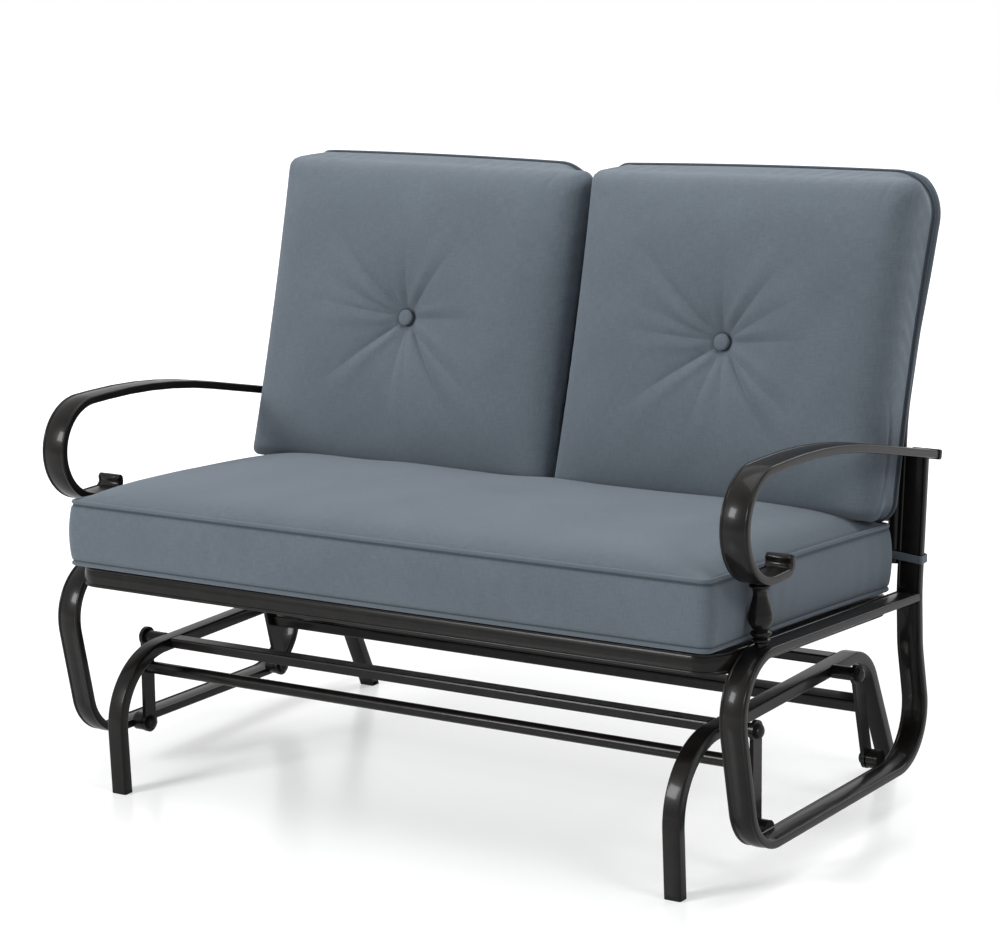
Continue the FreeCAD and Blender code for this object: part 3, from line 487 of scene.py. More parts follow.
armPost = {
    "depth": 0.097,
    # radius, and height as a share of the post
    "turning": [(0.009, -0.006), (0.009, 0.05), (0.0125, 0.08), (0.0125, 0.10), (0.0095, 0.13),
                (0.0135, 0.165), (0.0147, 0.19), (0.0135, 0.22), (0.0105, 0.245), (0.0138, 0.30),
                (0.0164, 0.36), (0.0176, 0.42), (0.0168, 0.50), (0.0144, 0.60), (0.0118, 0.70),
                (0.0100, 0.79), (0.0100, 0.86), (0.0120, 0.905), (0.0150, 0.935), (0.0152, 0.955),
                (0.0125, 0.98), (0.0125, 1.02)],
}


def postSkin():
    # turned post between the seat rail and the armrest's loop
    low = seatLine(armPost["depth"])
    rise = bench["armLoopLow"] - low
    outline = curveThrough([(r, h * rise) for r, h in armPost["turning"]], 160)
    return shell(lathe(outline, (bench["sideX"], armPost["depth"] - half, low), (0, 0, 1)))


baseFrame = {
    "middleX": 0.498 - 0.0135,
    "tube": (0.027, 0.018, 0.003),  # width, thickness and corner radius
    "railHeight": 0.212,
    "rearDepth": 0.561,
    "rearSplay": 22.5,
    "footHeight": 0.006,
    "bends": [0.08, 0.117],
}


def baseSkin():
    # one tube: splayed rear leg, rail and front leg
    top, foot = baseFrame["railHeight"], baseFrame["footHeight"]
    rearFoot = baseFrame["rearDepth"] + (top - foot) * tan(baseFrame["rearSplay"])
    corners = [(rearFoot, foot), (baseFrame["rearDepth"], top), (0.0, top), (0.0, foot)]
    path, heads = roundedPath(corners, baseFrame["bends"])

    def place(across, a, b):
        # the leaning leg is cut level with the floor
        return sideView(baseFrame["middleX"])(across, a, np.maximum(b, 0))
    return shell(sweep(path, heads, barProfile(*baseFrame["tube"]), place))


seatRing = {
    "width": 0.030,
    "thickness": 0.020,
    "frontDepth": 0.014,
    "length": 0.512,
    "corner": 0.042,
    "drop": 0.017,  # of its middle below the seat's slope
}


def seatRingSkin():
    # apron ring: a plan path laid on the sloping seat, with its strap on edge
    side, length = bench["innerX"], seatRing["length"]
    corners = [(0, length), (-side, length), (-side, 0), (side, 0), (side, length), (0, length)]
    path, heads = roundedPath(corners, [seatRing["corner"]] * 4)
    slope = math.radians(bench["seatSlope"])
    c, s = math.cos(slope), math.sin(slope)

    def place(across, a, b):
        # a runs across the bench and b back along the slope
        lift = across - seatRing["drop"]
        y = seatRing["frontDepth"] - half + b * c + lift * s
        return np.stack([a, y, seatLine(seatRing["frontDepth"]) - b * s + lift * c], -1)
    profile = beadProfile(seatRing["width"], seatRing["thickness"])
    return shell(sweep(path[:-1], heads[:-1], profile, place), closeRows=True)


hoop = {
    "topDepth": 0.675,
    "topHeight": 0.840,
    "bendHeight": 0.560,  # below it the hoop leans as the uprights do
    "footHeight": 0.345,
    "upperLean": 20,
    "tubeRadius": 0.011,
    "corner": 0.059,
    "bendHalf": 0.03,  # half the length over which the lean changes
    "bendRings": 13,
}


def hoopSkin():
    # a tube carried over the hoop's axis, drawn as (across, up the back) and then bent in side view
    low, high = math.radians(bench["uprightLean"]), math.radians(hoop["upperLean"])
    upperRise, lowerRise = hoop["topHeight"] - hoop["bendHeight"], hoop["bendHeight"] - hoop["footHeight"]
    upper, lower = upperRise / math.cos(high), lowerRise / math.cos(low)
    footDepth = hoop["topDepth"] - upperRise * math.tan(high) - lowerRise * math.tan(low)
    side, top, bend = bench["innerX"] - hoop["tubeRadius"], lower + upper, hoop["bendHalf"]
    path, heads = roundedPath([(side, 0), (side, top), (-side, top), (-side, 0)], [hoop["corner"]] * 2)
    # more rings where the posts bend
    count = hoop["bendRings"]
    extra = np.linspace(lower - bend, lower + bend, count)
    rightPost = np.stack([np.full(count, side), extra], 1)
    leftPost = np.stack([np.full(count, -side), extra[::-1]], 1)
    path = np.concatenate([path[:1], rightPost, path[1:-1], leftPost, path[-1:]])
    heads = np.concatenate([heads[:1], np.tile([[0.0, 1.0]], (count, 1)), heads[1:-1],
                            np.tile([[0.0, -1.0]], (count, 1)), heads[-1:]])

    def place(across, a, b):
        # the lean grows evenly along the bend, and the way there leans by the mean of what it has passed
        share = np.clip((b - lower + bend) / (2 * bend), 0, 1)
        lean = low + (high - low) * share
        mean = low + (lean - low) / 2
        straight = np.minimum(b, lower - bend)
        bent = np.clip(b - lower + bend, 0, 2 * bend)
        after = np.maximum(b - lower - bend, 0)
        y = footDepth + straight * math.sin(low) + bent * np.sin(mean) + after * math.sin(high)
        z = hoop["footHeight"] + straight * math.cos(low) + bent * np.cos(mean) + after * math.cos(high)
        return np.stack([a, y - half - across * np.cos(lean), z + across * np.sin(lean)], -1)
    return shell(sweep(path, heads, tubeProfile(hoop["tubeRadius"]), place))


# piece, function, body and the CAD node it stands for
framePieces = [
    ("sideFrame", sideFrameSkin, "seat", "side_frame"),
    ("armrest", armSkin, "seat", "armrest"),
    ("armPost", postSkin, "seat", "arm_post"),
    ("baseFrame", baseSkin, "base", "base_side_frame"),
]
for label in ("Left", "Right"):
    for name, makeSkin, body, node in framePieces:
        skin = makeSkin() if label == "Left" else mirrored(makeSkin())
        piece(name + label, [skin], framePaint, body, [node + "_" + label.lower()])
piece("seatFrame", [seatRingSkin()], framePaint, "seat", ["seat_frame"])
piece("backFrame", [hoopSkin()], framePaint, "seat", ["back_frame"])
print("frame pieces made")


# Cushions

def softOutline(width, length, corners, pulls, count):
    # rounded rectangle in equal steps: a quarter circle at each corner, and sides drawn in by a parabola
    # corners go round leftwards from the top right one, and pulls from the top side
    a, b = width / 2, length / 2
    turn, run = np.linspace(0, math.pi / 2, 24), np.linspace(0, 1, 60)[1:-1, None]
    ends = []
    for quarter, (sx, sy) in enumerate(((1, 1), (-1, 1), (-1, -1), (1, -1))):
        r, t = corners[quarter], turn + quarter * math.pi / 2
        ends.append([sx * (a - r), sy * (b - r)] + r * np.stack([np.cos(t), np.sin(t)], 1))
    legs = []
    for quarter, bend in enumerate(ends):
        start, end = bend[-1], ends[(quarter + 1) % 4][0]
        t = (quarter + 1) * math.pi / 2
        inward = -np.array([math.cos(t), math.sin(t)])
        legs += [bend, start + (end - start) * run + inward * pulls[quarter] * (1 - (2 * run - 1) ** 2)]
    line = np.concatenate(legs + [ends[0][:1]])
    s = np.concatenate([[0], np.cumsum(np.linalg.norm(np.diff(line, axis=0), axis=1))])
    at = np.linspace(0, s[-1], count, endpoint=False)
    return np.stack([np.interp(at, s, line[:, 0]), np.interp(at, s, line[:, 1])], 1), at


def outlineNormals(line):
    # the outline's direction turned a quarter turn to the right, which is outwards
    along = unit(np.roll(line, -1, 0) - np.roll(line, 1, 0))
    return np.stack([along[:, 1], -along[:, 0]], 1)


def rumple(x, y, size, seed):
    # gentle unevenness: nine sine waves of random direction, phase and length, the longer ones higher
    rng = np.random.default_rng(seed)
    total = np.zeros_like(x)
    for k in range(9):
        angle, phase = rng.uniform(0, 2 * math.pi, 2)
        length = rng.uniform(0.07, 0.24)
        along = x * math.cos(angle) + y * math.sin(angle)
        total += np.sin(along * 2 * math.pi / length + phase) * length / 0.24
    return total * size / 3


foldForm = {
    "startWidth": 0.0036,
    "fanOut": 0.055,  # how much wider a fold grows per metre
    "bank": 0.55,  # height of the bank as a share of the valley
    "below": 1.7,  # how much deeper than listed the folds below the button are
    "elsewhere": 1.15,
}


def foldHeight(x, y, folds):
    # a fold is a valley that starts at the button, fans out and fades: exp(-distance / spread) in section,
    # with a fuller bank at one side; the folds below the button are deeper
    total = np.zeros_like(x)
    for angle, length, depth in folds:
        c, s = math.cos(math.radians(angle)), math.sin(math.radians(angle))
        along, side = x * c + y * s, -x * s + y * c
        side = side + 0.05 * along ** 2 * math.sin(angle * 2.3)
        spread = foldForm["startWidth"] + foldForm["fanOut"] * np.maximum(along, 0)
        strength = smooth((along - 0.010) / 0.030) * np.clip(1 - along / (1.1 * length), 0, 1) ** 0.95
        valley = np.exp(-np.sqrt(side ** 2 + 0.0009 ** 2) / spread)
        bank = np.exp(-((side - 1.9 * spread) / (1.3 * spread)) ** 2)
        deeper = foldForm["below"] if 200 < angle < 340 else foldForm["elsewhere"]
        total += deeper * depth * strength * (foldForm["bank"] * bank - valley)
    return total


def sideLine(low, high):
    # middle, length and directions (up, out to the front) of a leaning line between two (depth, height)
    low, high = np.array([0, low[0] - half, low[1]]), np.array([0, high[0] - half, high[1]])
    up = unit(high - low)
    return (low + high) / 2, np.linalg.norm(high - low), up, np.array([0, -up[2], up[1]])


def pipe(line, normals, edge, radius, place, count=10):
    # cord in the seam: a circle carried round the outline
    a = np.linspace(0, 2 * math.pi, count, endpoint=False)
    across = line[:, None] + normals[:, None] * (radius * np.cos(a))[None, :, None]
    lift = np.broadcast_to(edge + radius * np.sin(a)[None], across.shape[:2])
    return place(across[..., 0], across[..., 1], lift)


def evenSteps(values, across, height, count):
    # picks values so that the points (across, height) they give are evenly spaced
    s = np.concatenate([[0], np.cumsum(np.hypot(np.diff(across), np.diff(height)))])
    return np.interp(np.linspace(0, s[-1], count), s, values)


def clothRows(x, y, z, shade):
    # place on the cloth and the painted shade, a row for each point
    return np.stack(np.broadcast_arrays(x, y, z, shade), -1).reshape(-1, 4)


def pipeCloth(at, shade):
    # the cord's cloth runs along the seam and once round the cord, with an even painted shade
    return clothRows(at[:, None], np.linspace(0, 0.018, 10)[None], 3.0, shade)


def plainCloth(skin, shade=0.0):
    # cloth place taken straight from the points, with an even painted shade
    return np.concatenate([skin[0], np.full((len(skin[0]), 1), shade)], 1)


backShape = {
    "points": 520,  # round the outline
    "rings": 136,  # from the button to the seam
    "seamLine": ((0.5115, 0.4140), (0.6743, 0.889)),  # depth and height of its lower and upper ends
    "frontLine": ((0.4305, 0.424), (0.5722, 0.893)),
    "crown": 0.027,
    "squareness": 4.6,
    "seamCorners": (0.070, 0.026, 0.03, 0.026),
    "frontCorners": (0.022, 0.007, 0.010, 0.016),
    "frontPulls": (0.001, 0.004, 0.0, 0.005),
    "unevenness": 0.0020,
    "funnel": (0.016, 0.019),  # depth and reach of the hollow right round the button
    "hollow": (0.015, 0.075),  # and of the wide one about it
    "darts": ((0.232, 0.222, 0.06), (-0.256, 0.222, -0.6)),  # where the front is gathered, and its lean
    "dartDepth": 0.004,
    "seamGroove": 0.0026,
    "creaseDepth": 0.0030,
    "puffDepth": 0.0085,  # of the cloth right behind the seam
    "puffReach": 0.0078,  # how far it stands out past the seam
    "rearCrown": 0.0035,
    "pipeRadius": 0.0023,
    "fill": 0.75,
}

# each fold: direction (0 towards +X, 90 up), length, depth
backCushions = {
    "Left": {
        "seamSpan": (0.010, 0.5605),
        "frontSpan": (0.017, 0.564),
        "seamPulls": (-0.002, -0.003, 0.0, 0.004),
        "outerSide": 1,
        "buttonX": 0.2935,
        "tilt": 0.007,
        "seed": 9,
        "folds": [(136, 0.200, 0.0070), (119, 0.130, 0.0030), (90, 0.120, 0.0040), (52, 0.155, 0.0055),
                  (31, 0.160, 0.0030), (6, 0.145, 0.0045), (325, 0.165, 0.0040), (309, 0.205, 0.0065),
                  (282, 0.180, 0.0030), (256, 0.160, 0.0030), (215, 0.160, 0.0050), (174, 0.145, 0.0050),
                  (158, 0.170, 0.0035)],
    },
    "Right": {
        "seamSpan": (-0.554, -0.018),
        "frontSpan": (-0.559, 0.013),
        "seamPulls": (-0.002, 0.003, 0.0, -0.004),
        "outerSide": -1,
        "buttonX": -0.272,
        "tilt": -0.003,
        "seed": 4,
        "folds": [(136, 0.195, 0.0075), (121, 0.125, 0.0030), (91, 0.120, 0.0040), (53, 0.160, 0.0050),
                  (4, 0.145, 0.0045), (324, 0.180, 0.0045), (309, 0.215, 0.0070), (283, 0.175, 0.0035),
                  (269, 0.170, 0.0035), (219, 0.165, 0.0050), (171, 0.160, 0.0050), (157, 0.185, 0.0035)],
    },
}


def backCushion(label):
    # soft front in one cloth with the sides, a piped seam, and a rear panel
    # in section |x / a| ^ n + |z / h| ^ n = 1, so the sides stand and the edges roll over
    own, shape = backCushions[label], backShape
    seamMid, seamLength, seamUp, _ = sideLine(*shape["seamLine"])
    frontMid, frontLength, frontUp, _ = sideLine(*shape["frontLine"])
    depth = float(np.linalg.norm(frontMid - seamMid))
    height = depth + shape["crown"]
    seamLow, seamHigh = own["seamSpan"]
    frontLow, frontHigh = own["frontSpan"]
    frontWidth = frontHigh - frontLow
    count, buttonX, n = shape["points"], own["buttonX"], shape["squareness"]
    seam, at = softOutline(seamHigh - seamLow, seamLength, shape["seamCorners"], own["seamPulls"], count)
    front, _ = softOutline(frontWidth, frontLength, shape["frontCorners"], shape["frontPulls"], count)
    seam[:, 0] += (seamLow + seamHigh) / 2
    front[:, 0] += (frontLow + frontHigh) / 2
    for line in (seam, front):
        # the top edge slopes along the bench
        slope = 0.45 + 0.55 * (line[:, 0] - buttonX) / 0.27
        line[:, 1] += own["tilt"] * np.clip(line[:, 1] / 0.24, 0, 1) * slope
    frontNormals, seamNormals = outlineNormals(front), outlineNormals(seam)

    def level(x, y, rise):
        # rise is the height over the seam's plane, and the plane turns evenly towards the front's
        share = (rise / depth)[..., None]
        middle = seamMid + (frontMid - seamMid) * share
        up = unit(seamUp + (frontUp - seamUp) * share)
        return middle + x[..., None] * [1, 0, 0] + y[..., None] * up

    # rings from the button to the seam
    fine = np.linspace(0, math.pi / 2, 4000)
    share = np.sin(fine) ** (2 / n)
    share = evenSteps(share, 0.25 * share, height * np.cos(fine) ** (2 / n), shape["rings"])
    ring = height * (1 - np.minimum(share, 1) ** n) ** (1 / n)
    lead = smooth(ring / (0.6 * depth))[:, None, None]
    line = front * lead + seam * (1 - lead)
    centre = np.array([buttonX, 0])
    spot = centre + (line - centre) * share[:, None, None]
    x, y = spot[..., 0] - buttonX, spot[..., 1]
    u = np.maximum(1 - np.minimum(np.abs(x) / (frontWidth / 2), 1) ** n, 1e-5) ** (1 / n)
    v = np.maximum(1 - np.minimum(np.abs(y) / (frontLength / 2), 1) ** n, 1e-5) ** (1 / n)
    inside = height * (u ** -7 + v ** -7 - 1) ** (-1 / 7)
    edge = smooth((share[:, None] - 0.84) / 0.13)
    rise = inside * (1 - edge) + ring[:, None] * edge
    # the button pulls a funnel into the front, with folds round it
    reach = np.hypot(x, y)
    (deep, near), (shallow, far) = shape["funnel"], shape["hollow"]
    funnel = deep * np.exp(-np.maximum(reach - 0.011, 0) / near) + shallow * np.exp(-(reach / far) ** 2)
    fade = 1 - smooth((share[:, None] - 0.72) / 0.2)
    folds = foldHeight(x, y, own["folds"]) + rumple(x, y, shape["unevenness"], own["seed"])
    rise = rise - funnel + folds * fade
    for dartX, dartY, lean in shape["darts"]:
        along = (y - dartY) / 0.022
        across = x - dartX - lean * (y - dartY)
        rise = rise - shape["dartDepth"] * np.exp(-(across / 0.0035) ** 2 - along ** 2) * edge
    wall = np.clip(1 - ring / depth, 0, 1)[:, None]
    ripple = np.sin(at * 2 * math.pi / 0.031 + own["seed"]) * np.sin(at * 9.1) ** 2
    pucker = 0.0005 * ripple * np.sin(math.pi * wall)
    groove = shape["seamGroove"] * np.exp(-((ring - 0.0050) / 0.0030) ** 2)[:, None]
    # one long crease low on the side towards +X
    low = np.exp(-((y + 0.150) / 0.055) ** 2) * (x > 0.2)
    creaseLine = ring[:, None] - 0.045 - 0.25 * (y + 0.15) ** 2 / 0.1
    crease = shape["creaseDepth"] * low * np.exp(-(creaseLine / 0.0045) ** 2)
    push = (pucker - groove - crease)[..., None] * frontNormals
    rise = np.maximum(rise, 0) * (share < 1)[:, None]
    frontRows = level(spot[..., 0] + push[..., 0], spot[..., 1] + push[..., 1], rise)
    # painted shade: the cloth is darkened in the seam, the crease, in a ring round the button and low in
    # the fold over the seat
    shade = 0.75 * np.exp(-((ring - 0.004) / 0.0042) ** 2)[:, None] + 90 * crease
    shade = shade + 0.7 * np.exp(-((reach - 0.0128) / 0.0022) ** 2)
    shade = shade + 0.10 * smooth((-y - 0.12) / 0.12) + 0.5 * smooth((-y - 0.218) / 0.016)
    frontCloth = clothRows(x, y, 0.12 * wall, np.minimum(shade, 0.8))
    # behind the seam the cloth puffs out past it in a sine, most on the outer side and high up
    puffSide = np.clip(1.6 * own["outerSide"] * seamNormals[:, 0], 0, 1)
    puff = shape["puffReach"] * puffSide * smooth((seam[:, 1] + 0.12) / 0.26)
    turn = np.linspace(0, 1, 13)[1:]
    spot = seam + seamNormals * (puff * np.sin(math.pi * turn[:, None]) ** 0.7)[..., None]
    rise = np.zeros(spot.shape[:2]) - shape["puffDepth"] * turn[:, None]
    puffRows = level(spot[..., 0], spot[..., 1], rise)
    # painted shade on the puff right behind the seam, fading over its first third
    puffCloth = clothRows(spot[..., 0], spot[..., 1], 2.0, 0.6 * (1 - smooth(turn[:, None] / 0.3)))
    # then it runs over the rear, slightly crowned
    fine = np.linspace(1, 0, 2000)
    share = evenSteps(fine, 0.25 * fine, shape["rearCrown"] * (1 - fine ** 6) ** 0.4, 26)[1:]
    centre = np.array([(seamLow + seamHigh) / 2, 0])
    spot = centre + (seam - centre) * share[:, None, None]
    crown = shape["rearCrown"] * (1 - share ** 6)[:, None] ** 0.4
    rearRows = level(spot[..., 0], spot[..., 1], np.zeros(spot.shape[:2]) - shape["puffDepth"] - crown)
    rearCloth = clothRows(spot[..., 0], spot[..., 1], 2.0, 0.0)
    cord = pipe(seam + seamNormals * 0.0006, seamNormals, 0.0, shape["pipeRadius"], level)
    body = shell(np.concatenate([frontRows, puffRows, rearRows]), caps=False)
    # the cord carries a painted shade of 0.62
    cloth = [frontCloth, puffCloth, rearCloth, pipeCloth(at, 0.62)]
    cushion = piece("backCushion" + label, [body, shell(cord, closeRows=True)], slateFabric, "seat",
                    ["back_cushion_" + label.lower()], 70, cloth)


# radius and height over the foot of the tuft
buttonOutline = [(0.0, -0.001), (0.0100, -0.001), (0.0118, 0.0004), (0.0125, 0.0022), (0.0122, 0.0040),
                 (0.0108, 0.0055), (0.0075, 0.0066), (0.0035, 0.0071), (0.0, 0.0072)]


def buttonSkin(label):
    # covered button at the foot of the tuft
    middle, _, _, out = sideLine(*backShape["frontLine"])
    base = middle + out * 0.0010 + np.array([backCushions[label]["buttonX"], 0, 0])
    return shell(lathe(curveThrough(buttonOutline, 60), base, out), caps=False)


for label in ("Left", "Right"):
    backCushion(label)
buttons = [buttonSkin("Left"), buttonSkin("Right")]
piece("tuftButtons", buttons, slateFabric, "seat", ["tuft_buttons"], 50,
      [plainCloth(skin) for skin in buttons])


seatPad = {
    "points": 600,  # round the outline
    "width": 1.094,
    "length": 0.517,
    "height": 0.100,
    "crown": 0.036,
    "middleX": 0.0035,
    "frontDepth": -0.006,
    "middleRun": 0.2605,  # from the front to the middle, along the slope
    "drop": 0.0015,  # below the seat's slope
    "corners": (0.014, 0.014, 0.012, 0.012),
    "pulls": (0.004, 0.003, -0.002, 0.001),
    "rearFlare": 0.008,  # how much wider the rear is, as a share
    "hem": 0.0042,  # height of the lower seam over the bottom
    "swell": 0.0072,  # of the side walls
    "dent": 0.0019,  # beside the seams
    "unevenness": 0.0016,
    "seed": 21,
    "topPipe": 0.0030,
    "lowPipe": 0.0033,
    "fill": 0.8,
}


def seatCushion():
    # boxed cushion with piping along both edges; the top rises by the square root of
    # (1 - |x / a| ^ 8) * (1 - |y / b| ^ p), and the walls swell by a sine
    pad = seatPad
    width, length, height, hem = pad["width"], pad["length"], pad["height"], pad["hem"]
    line, at = softOutline(width, length, pad["corners"], pad["pulls"], pad["points"])
    line[:, 0] *= 1 + pad["rearFlare"] * np.clip(line[:, 1] / 0.26, 0, 1) ** 2
    normals = outlineNormals(line)
    slope = math.radians(bench["seatSlope"])
    c, s = math.cos(slope), math.sin(slope)
    frontHeight = seatLine(pad["frontDepth"]) - pad["drop"]

    def place(x, y, lift):
        # y runs back along the slope and lift stands on it
        run = y + pad["middleRun"]
        return np.stack([pad["middleX"] + x, pad["frontDepth"] - half + run * c + lift * s,
                         frontHeight - run * s + lift * c], -1)

    fine = np.linspace(0, 1, 3000)
    share = evenSteps(fine, 0.26 * fine, 0.034 * (1 - fine ** 3) ** 0.5, 90)
    x, y = share[:, None] * line[None, :, 0], share[:, None] * line[None, :, 1]
    u = 1 - np.minimum(np.abs(x) / (width / 2), 1) ** 8
    v = 1 - np.minimum(np.abs(y) / (length / 2), 1) ** np.where(y > 0, 2.8, 3.4)
    crown = pad["crown"] * np.sqrt(np.maximum(u * v, 0)) * (1 - share[:, None] ** 40)
    uneven = rumple(x, y, pad["unevenness"], pad["seed"]) * (1 - share[:, None] ** 4)
    topRows = place(x, y, height + crown + uneven)
    # painted shade beside the seam, and painted shadow of the back cushions in the fold under them
    topShade = 0.6 * smooth((share[:, None] - 0.984) / 0.012) + 0.55 * smooth((y - 0.168) / 0.012)
    topCloth = clothRows(x, y, 0.0, topShade)
    # walls, from the top seam to the lower one
    share = np.concatenate([np.linspace(0, 0.08, 5)[1:], np.linspace(0.08, 0.90, 18)[1:],
                            np.linspace(0.90, 1, 7)[1:-1]])
    swell = pad["swell"] * np.sin(math.pi * share) ** 0.62
    dent = pad["dent"] * (np.exp(-((share - 0.050) / 0.020) ** 2) + np.exp(-((share - 0.925) / 0.020) ** 2))
    pucker = 0.0004 * np.sin(at * 2 * math.pi / 0.037) * np.sin(at * 7.3) ** 2
    push = (swell - dent)[:, None] + pucker * np.sin(math.pi * share)[:, None]
    outer = line + normals * push[..., None]
    lift = height - (height - hem) * share[:, None]
    wallRows = place(outer[..., 0], outer[..., 1], lift + 0 * outer[..., 0])
    # painted shade in the dents beside both seams
    wallCloth = clothRows(at, share[:, None] * height, 1.0, np.minimum(480 * dent, 0.85)[:, None])
    # flat bottom that rises to the lower seam at its edge
    share = np.concatenate([np.linspace(1, 0.05, 24), [0.0]])
    x, y = share[:, None] * line[None, :, 0], share[:, None] * line[None, :, 1]
    bottomRows = place(x, y, hem * smooth((share[:, None] - 0.88) / 0.12) + 0 * x)
    # painted shade over the whole underside
    bottomCloth = clothRows(x, y, 2.0, 0.3)
    topSeam = pipe(line - normals * 0.0004, normals, height, pad["topPipe"], place)
    lowSeam = pipe(line + normals * 0.0004, normals, hem + pad["lowPipe"], pad["lowPipe"], place)
    skins = [shell(np.concatenate([topRows, wallRows, bottomRows]), caps=False),
             shell(topSeam, closeRows=True), shell(lowSeam, closeRows=True)]
    # both cords carry a faint painted shade of 0.05
    cushion = piece("seatCushion", skins, slateFabric, "seat", ["seat_cushion"], 70,
                    [topCloth, wallCloth, bottomCloth, pipeCloth(at, 0.05), pipeCloth(at, 0.05)])


seatCushion()

tie = {
    "corners": [(0.5965, 0.5305), (0.5965, 0.5520), (0.5560, 0.5640), (0.5300, 0.5640), (0.5300, 0.5305)],
    "start": (0.566, 0.5305),
    "bends": [0.004, 0.006, 0.01, 0.006, 0.006],
    "tail": [(0.541, 0.5320), (0.539, 0.5060)],
    "band": (0.0115, 0.0022, 0.0010),  # width, thickness and edge radius
    "height": 0.3590,
    "slope": 0.10,  # it stands higher towards the cushion
}


def tieSkins():
    # fabric band round the upright and the back post, and a tail to the cushion's corner, drawn in plan
    path, heads = roundedPath([tie["start"], *tie["corners"], tie["start"]], tie["bends"])
    profile = barProfile(*tie["band"], 4)

    def place(across, a, b):
        # the band's width stands upright
        return np.stack([a, b - half, tie["height"] + across + (tie["start"][0] - a) * tie["slope"]], -1)
    band = shell(sweep(path[:-1], heads[:-1], profile, place), closeRows=True)
    ends, tailHeads = roundedPath(tie["tail"], [])
    tail = np.linspace(ends[0], ends[-1], 12)
    return [band, shell(sweep(tail, np.tile(tailHeads[:1], (12, 1)), profile, place))]


ties = tieSkins()
ties += [mirrored(skin) for skin in ties]
# the ties carry an even painted shade of a quarter
piece("cushionTies", ties, slateFabric, "seat", ["cushion_ties"], 50,
      [plainCloth(skin, 0.25) for skin in ties])
print("cushions made")


# Floor, lights and camera

floorLook = {
    "reach": 9,
    "height": -0.0004,
    "surface": {"Base Color": (0.80, 0.80, 0.80, 1), "Roughness": 0.22, "Specular IOR Level": 0.45,
                "Emission Color": (1, 1, 1, 1)},
    "glow": {"From Min": 0.9, "From Max": 3.2, "To Min": 0.35, "To Max": 0.75},
}


def stageFloor():
    # flat square that grows paler with the distance from the bench, so that no edge shows where it ends
    r, z = floorLook["reach"], floorLook["height"]
    mesh = bpy.data.meshes.new("studioFloor")
    mesh.from_pydata([(-r, -r, z), (r, -r, z), (r, r, z), (-r, r, z)], [], [(0, 1, 2, 3)])
    floor = bpy.data.objects.new("studioFloor", mesh)
    bpy.context.scene.collection.objects.link(floor)
    material, tree, shader = newMaterial("paleFloor")
    setInputs(shader, floorLook["surface"])
    place = tree.nodes.new("ShaderNodeTexCoord")
    away = add(tree, "ShaderNodeVectorMath", operation="LENGTH")
    paler = add(tree, "ShaderNodeMapRange", floorLook["glow"])
    glow = add(tree, "ShaderNodeMath", operation="MULTIPLY")
    tree.links.new(place.outputs["Object"], away.inputs[0])
    tree.links.new(away.outputs["Value"], paler.inputs["Value"])
    tree.links.new(seenAsWhite(tree), glow.inputs[0])
    tree.links.new(paler.outputs["Result"], glow.inputs[1])
    tree.links.new(glow.outputs[0], shader.inputs["Emission Strength"])
    mesh.materials.append(material)


stageFloor()

# place, the point it looks at, size in metres and power in watts
lights = {
    "keyLight": {"place": (-2.1, -3.9, 2.5), "target": (0, 0, 0.5), "size": 1.3, "power": 150},
    "fillLight": {"place": (3.3, -0.8, 2.9), "target": (0.4, 0.1, 0.8), "size": 1.0, "power": 30},
    "topLight": {"place": (0.2, 0.2, 3.6), "target": (0, 0, 0.4), "size": 2.4, "power": 52},
    "rimLight": {"place": (1.6, 3.2, 2.6), "target": (0.2, 0.1, 0.7), "size": 1.6, "power": 42},
}


def softbox(name):
    # square lamp turned so that its face looks at its target
    light = bpy.data.lights.new(name, "AREA")
    light.shape = "SQUARE"
    light.size = lights[name]["size"]
    light.energy = lights[name]["power"]
    obj = bpy.data.objects.new(name, light)
    obj.location = lights[name]["place"]
    aim = Vector(lights[name]["target"]) - Vector(lights[name]["place"])
    obj.rotation_euler = aim.to_track_quat("-Z", "Y").to_euler()
    bpy.context.scene.collection.objects.link(obj)


for name in lights:
    softbox(name)

surround = {"colour": (0.95, 0.97, 1.0, 1), "strength": 0.42}


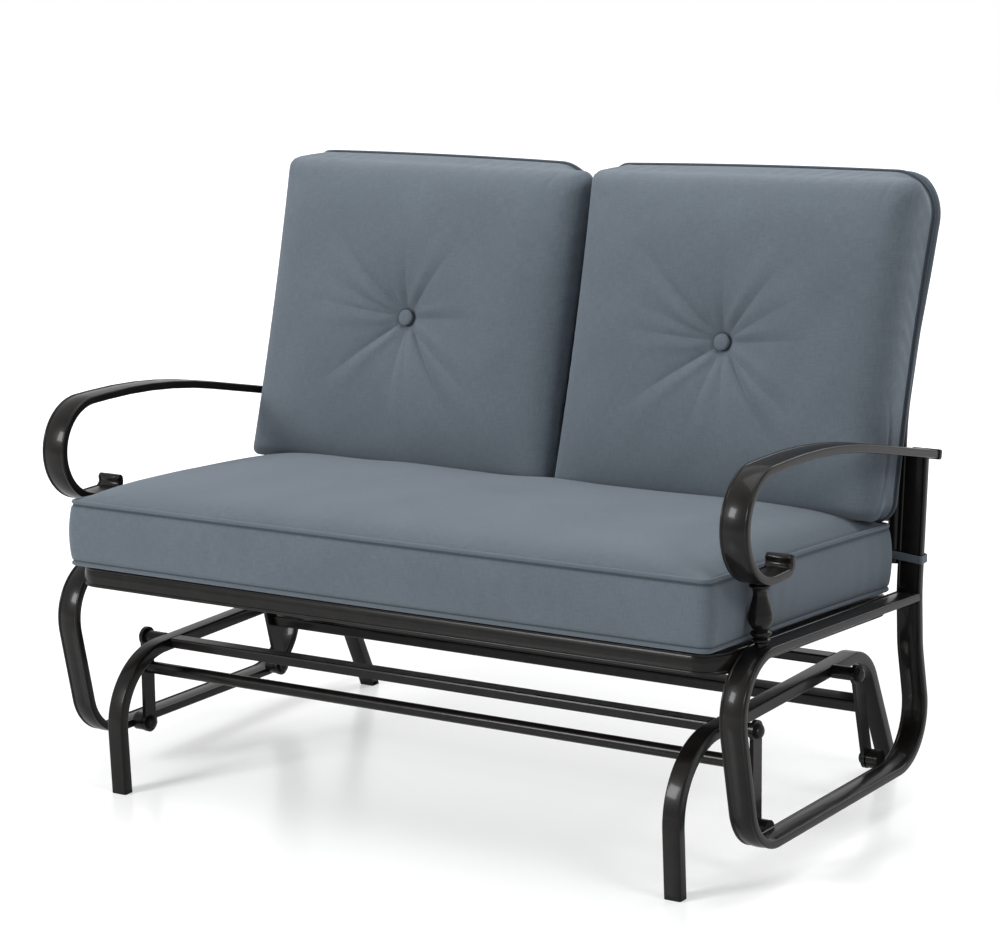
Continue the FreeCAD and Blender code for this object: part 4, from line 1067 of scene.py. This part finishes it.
def studioWorld():
    # soft even light on the bench, with a plain white background behind it
    world = bpy.data.worlds.new("studio")
    bpy.context.scene.world = world
    world.use_nodes = True
    tree = world.node_tree
    tree.nodes.clear()
    light = {"Color": surround["colour"], "Strength": surround["strength"]}
    ambient = add(tree, "ShaderNodeBackground", light)
    backdrop = add(tree, "ShaderNodeBackground", {"Color": (1, 1, 1, 1), "Strength": 1.0})
    choice = tree.nodes.new("ShaderNodeMixShader")
    sky = tree.nodes.new("ShaderNodeOutputWorld")
    tree.links.new(seenAsWhite(tree), choice.inputs["Fac"])
    tree.links.new(ambient.outputs[0], choice.inputs[1])
    tree.links.new(backdrop.outputs[0], choice.inputs[2])
    tree.links.new(choice.outputs[0], sky.inputs["Surface"])


studioWorld()

# fitted to the bench's known sizes in the photograph
view = {
    "place": (2.46798, -3.60686, 1.45243),
    "yaw": 33.218,
    "pitch": 12.646,
    "roll": -2.054,
    "focalPixels": 3027.49,
    "imageWidth": 1000,
    "sensorWidth": 36.0,
    "shiftX": -0.06,
}


def photoCamera():
    # yaw and pitch aim the camera, and roll turns its right and up directions about that aim
    yaw, pitch, roll = (math.radians(view[key]) for key in ("yaw", "pitch", "roll"))
    forward = Vector((-math.sin(yaw) * math.cos(pitch), math.cos(yaw) * math.cos(pitch), -math.sin(pitch)))
    level = Vector((math.cos(yaw), math.sin(yaw), 0))
    upright = level.cross(forward)
    right = math.cos(roll) * level + math.sin(roll) * upright
    up = -math.sin(roll) * level + math.cos(roll) * upright
    data = bpy.data.cameras.new("photoCamera")
    camera = bpy.data.objects.new("photoCamera", data)
    bpy.context.scene.collection.objects.link(camera)
    turn = Matrix((right, up, -forward)).transposed().to_4x4()
    camera.matrix_world = Matrix.Translation(view["place"]) @ turn
    data.sensor_fit = "HORIZONTAL"
    data.sensor_width = view["sensorWidth"]
    data.lens = view["focalPixels"] / view["imageWidth"] * view["sensorWidth"]
    data.shift_x = view["shiftX"]
    data.clip_end = 100
    bpy.context.scene.camera = camera


photoCamera()
bpy.context.scene.view_settings.view_transform = "Standard"
print("stage made")
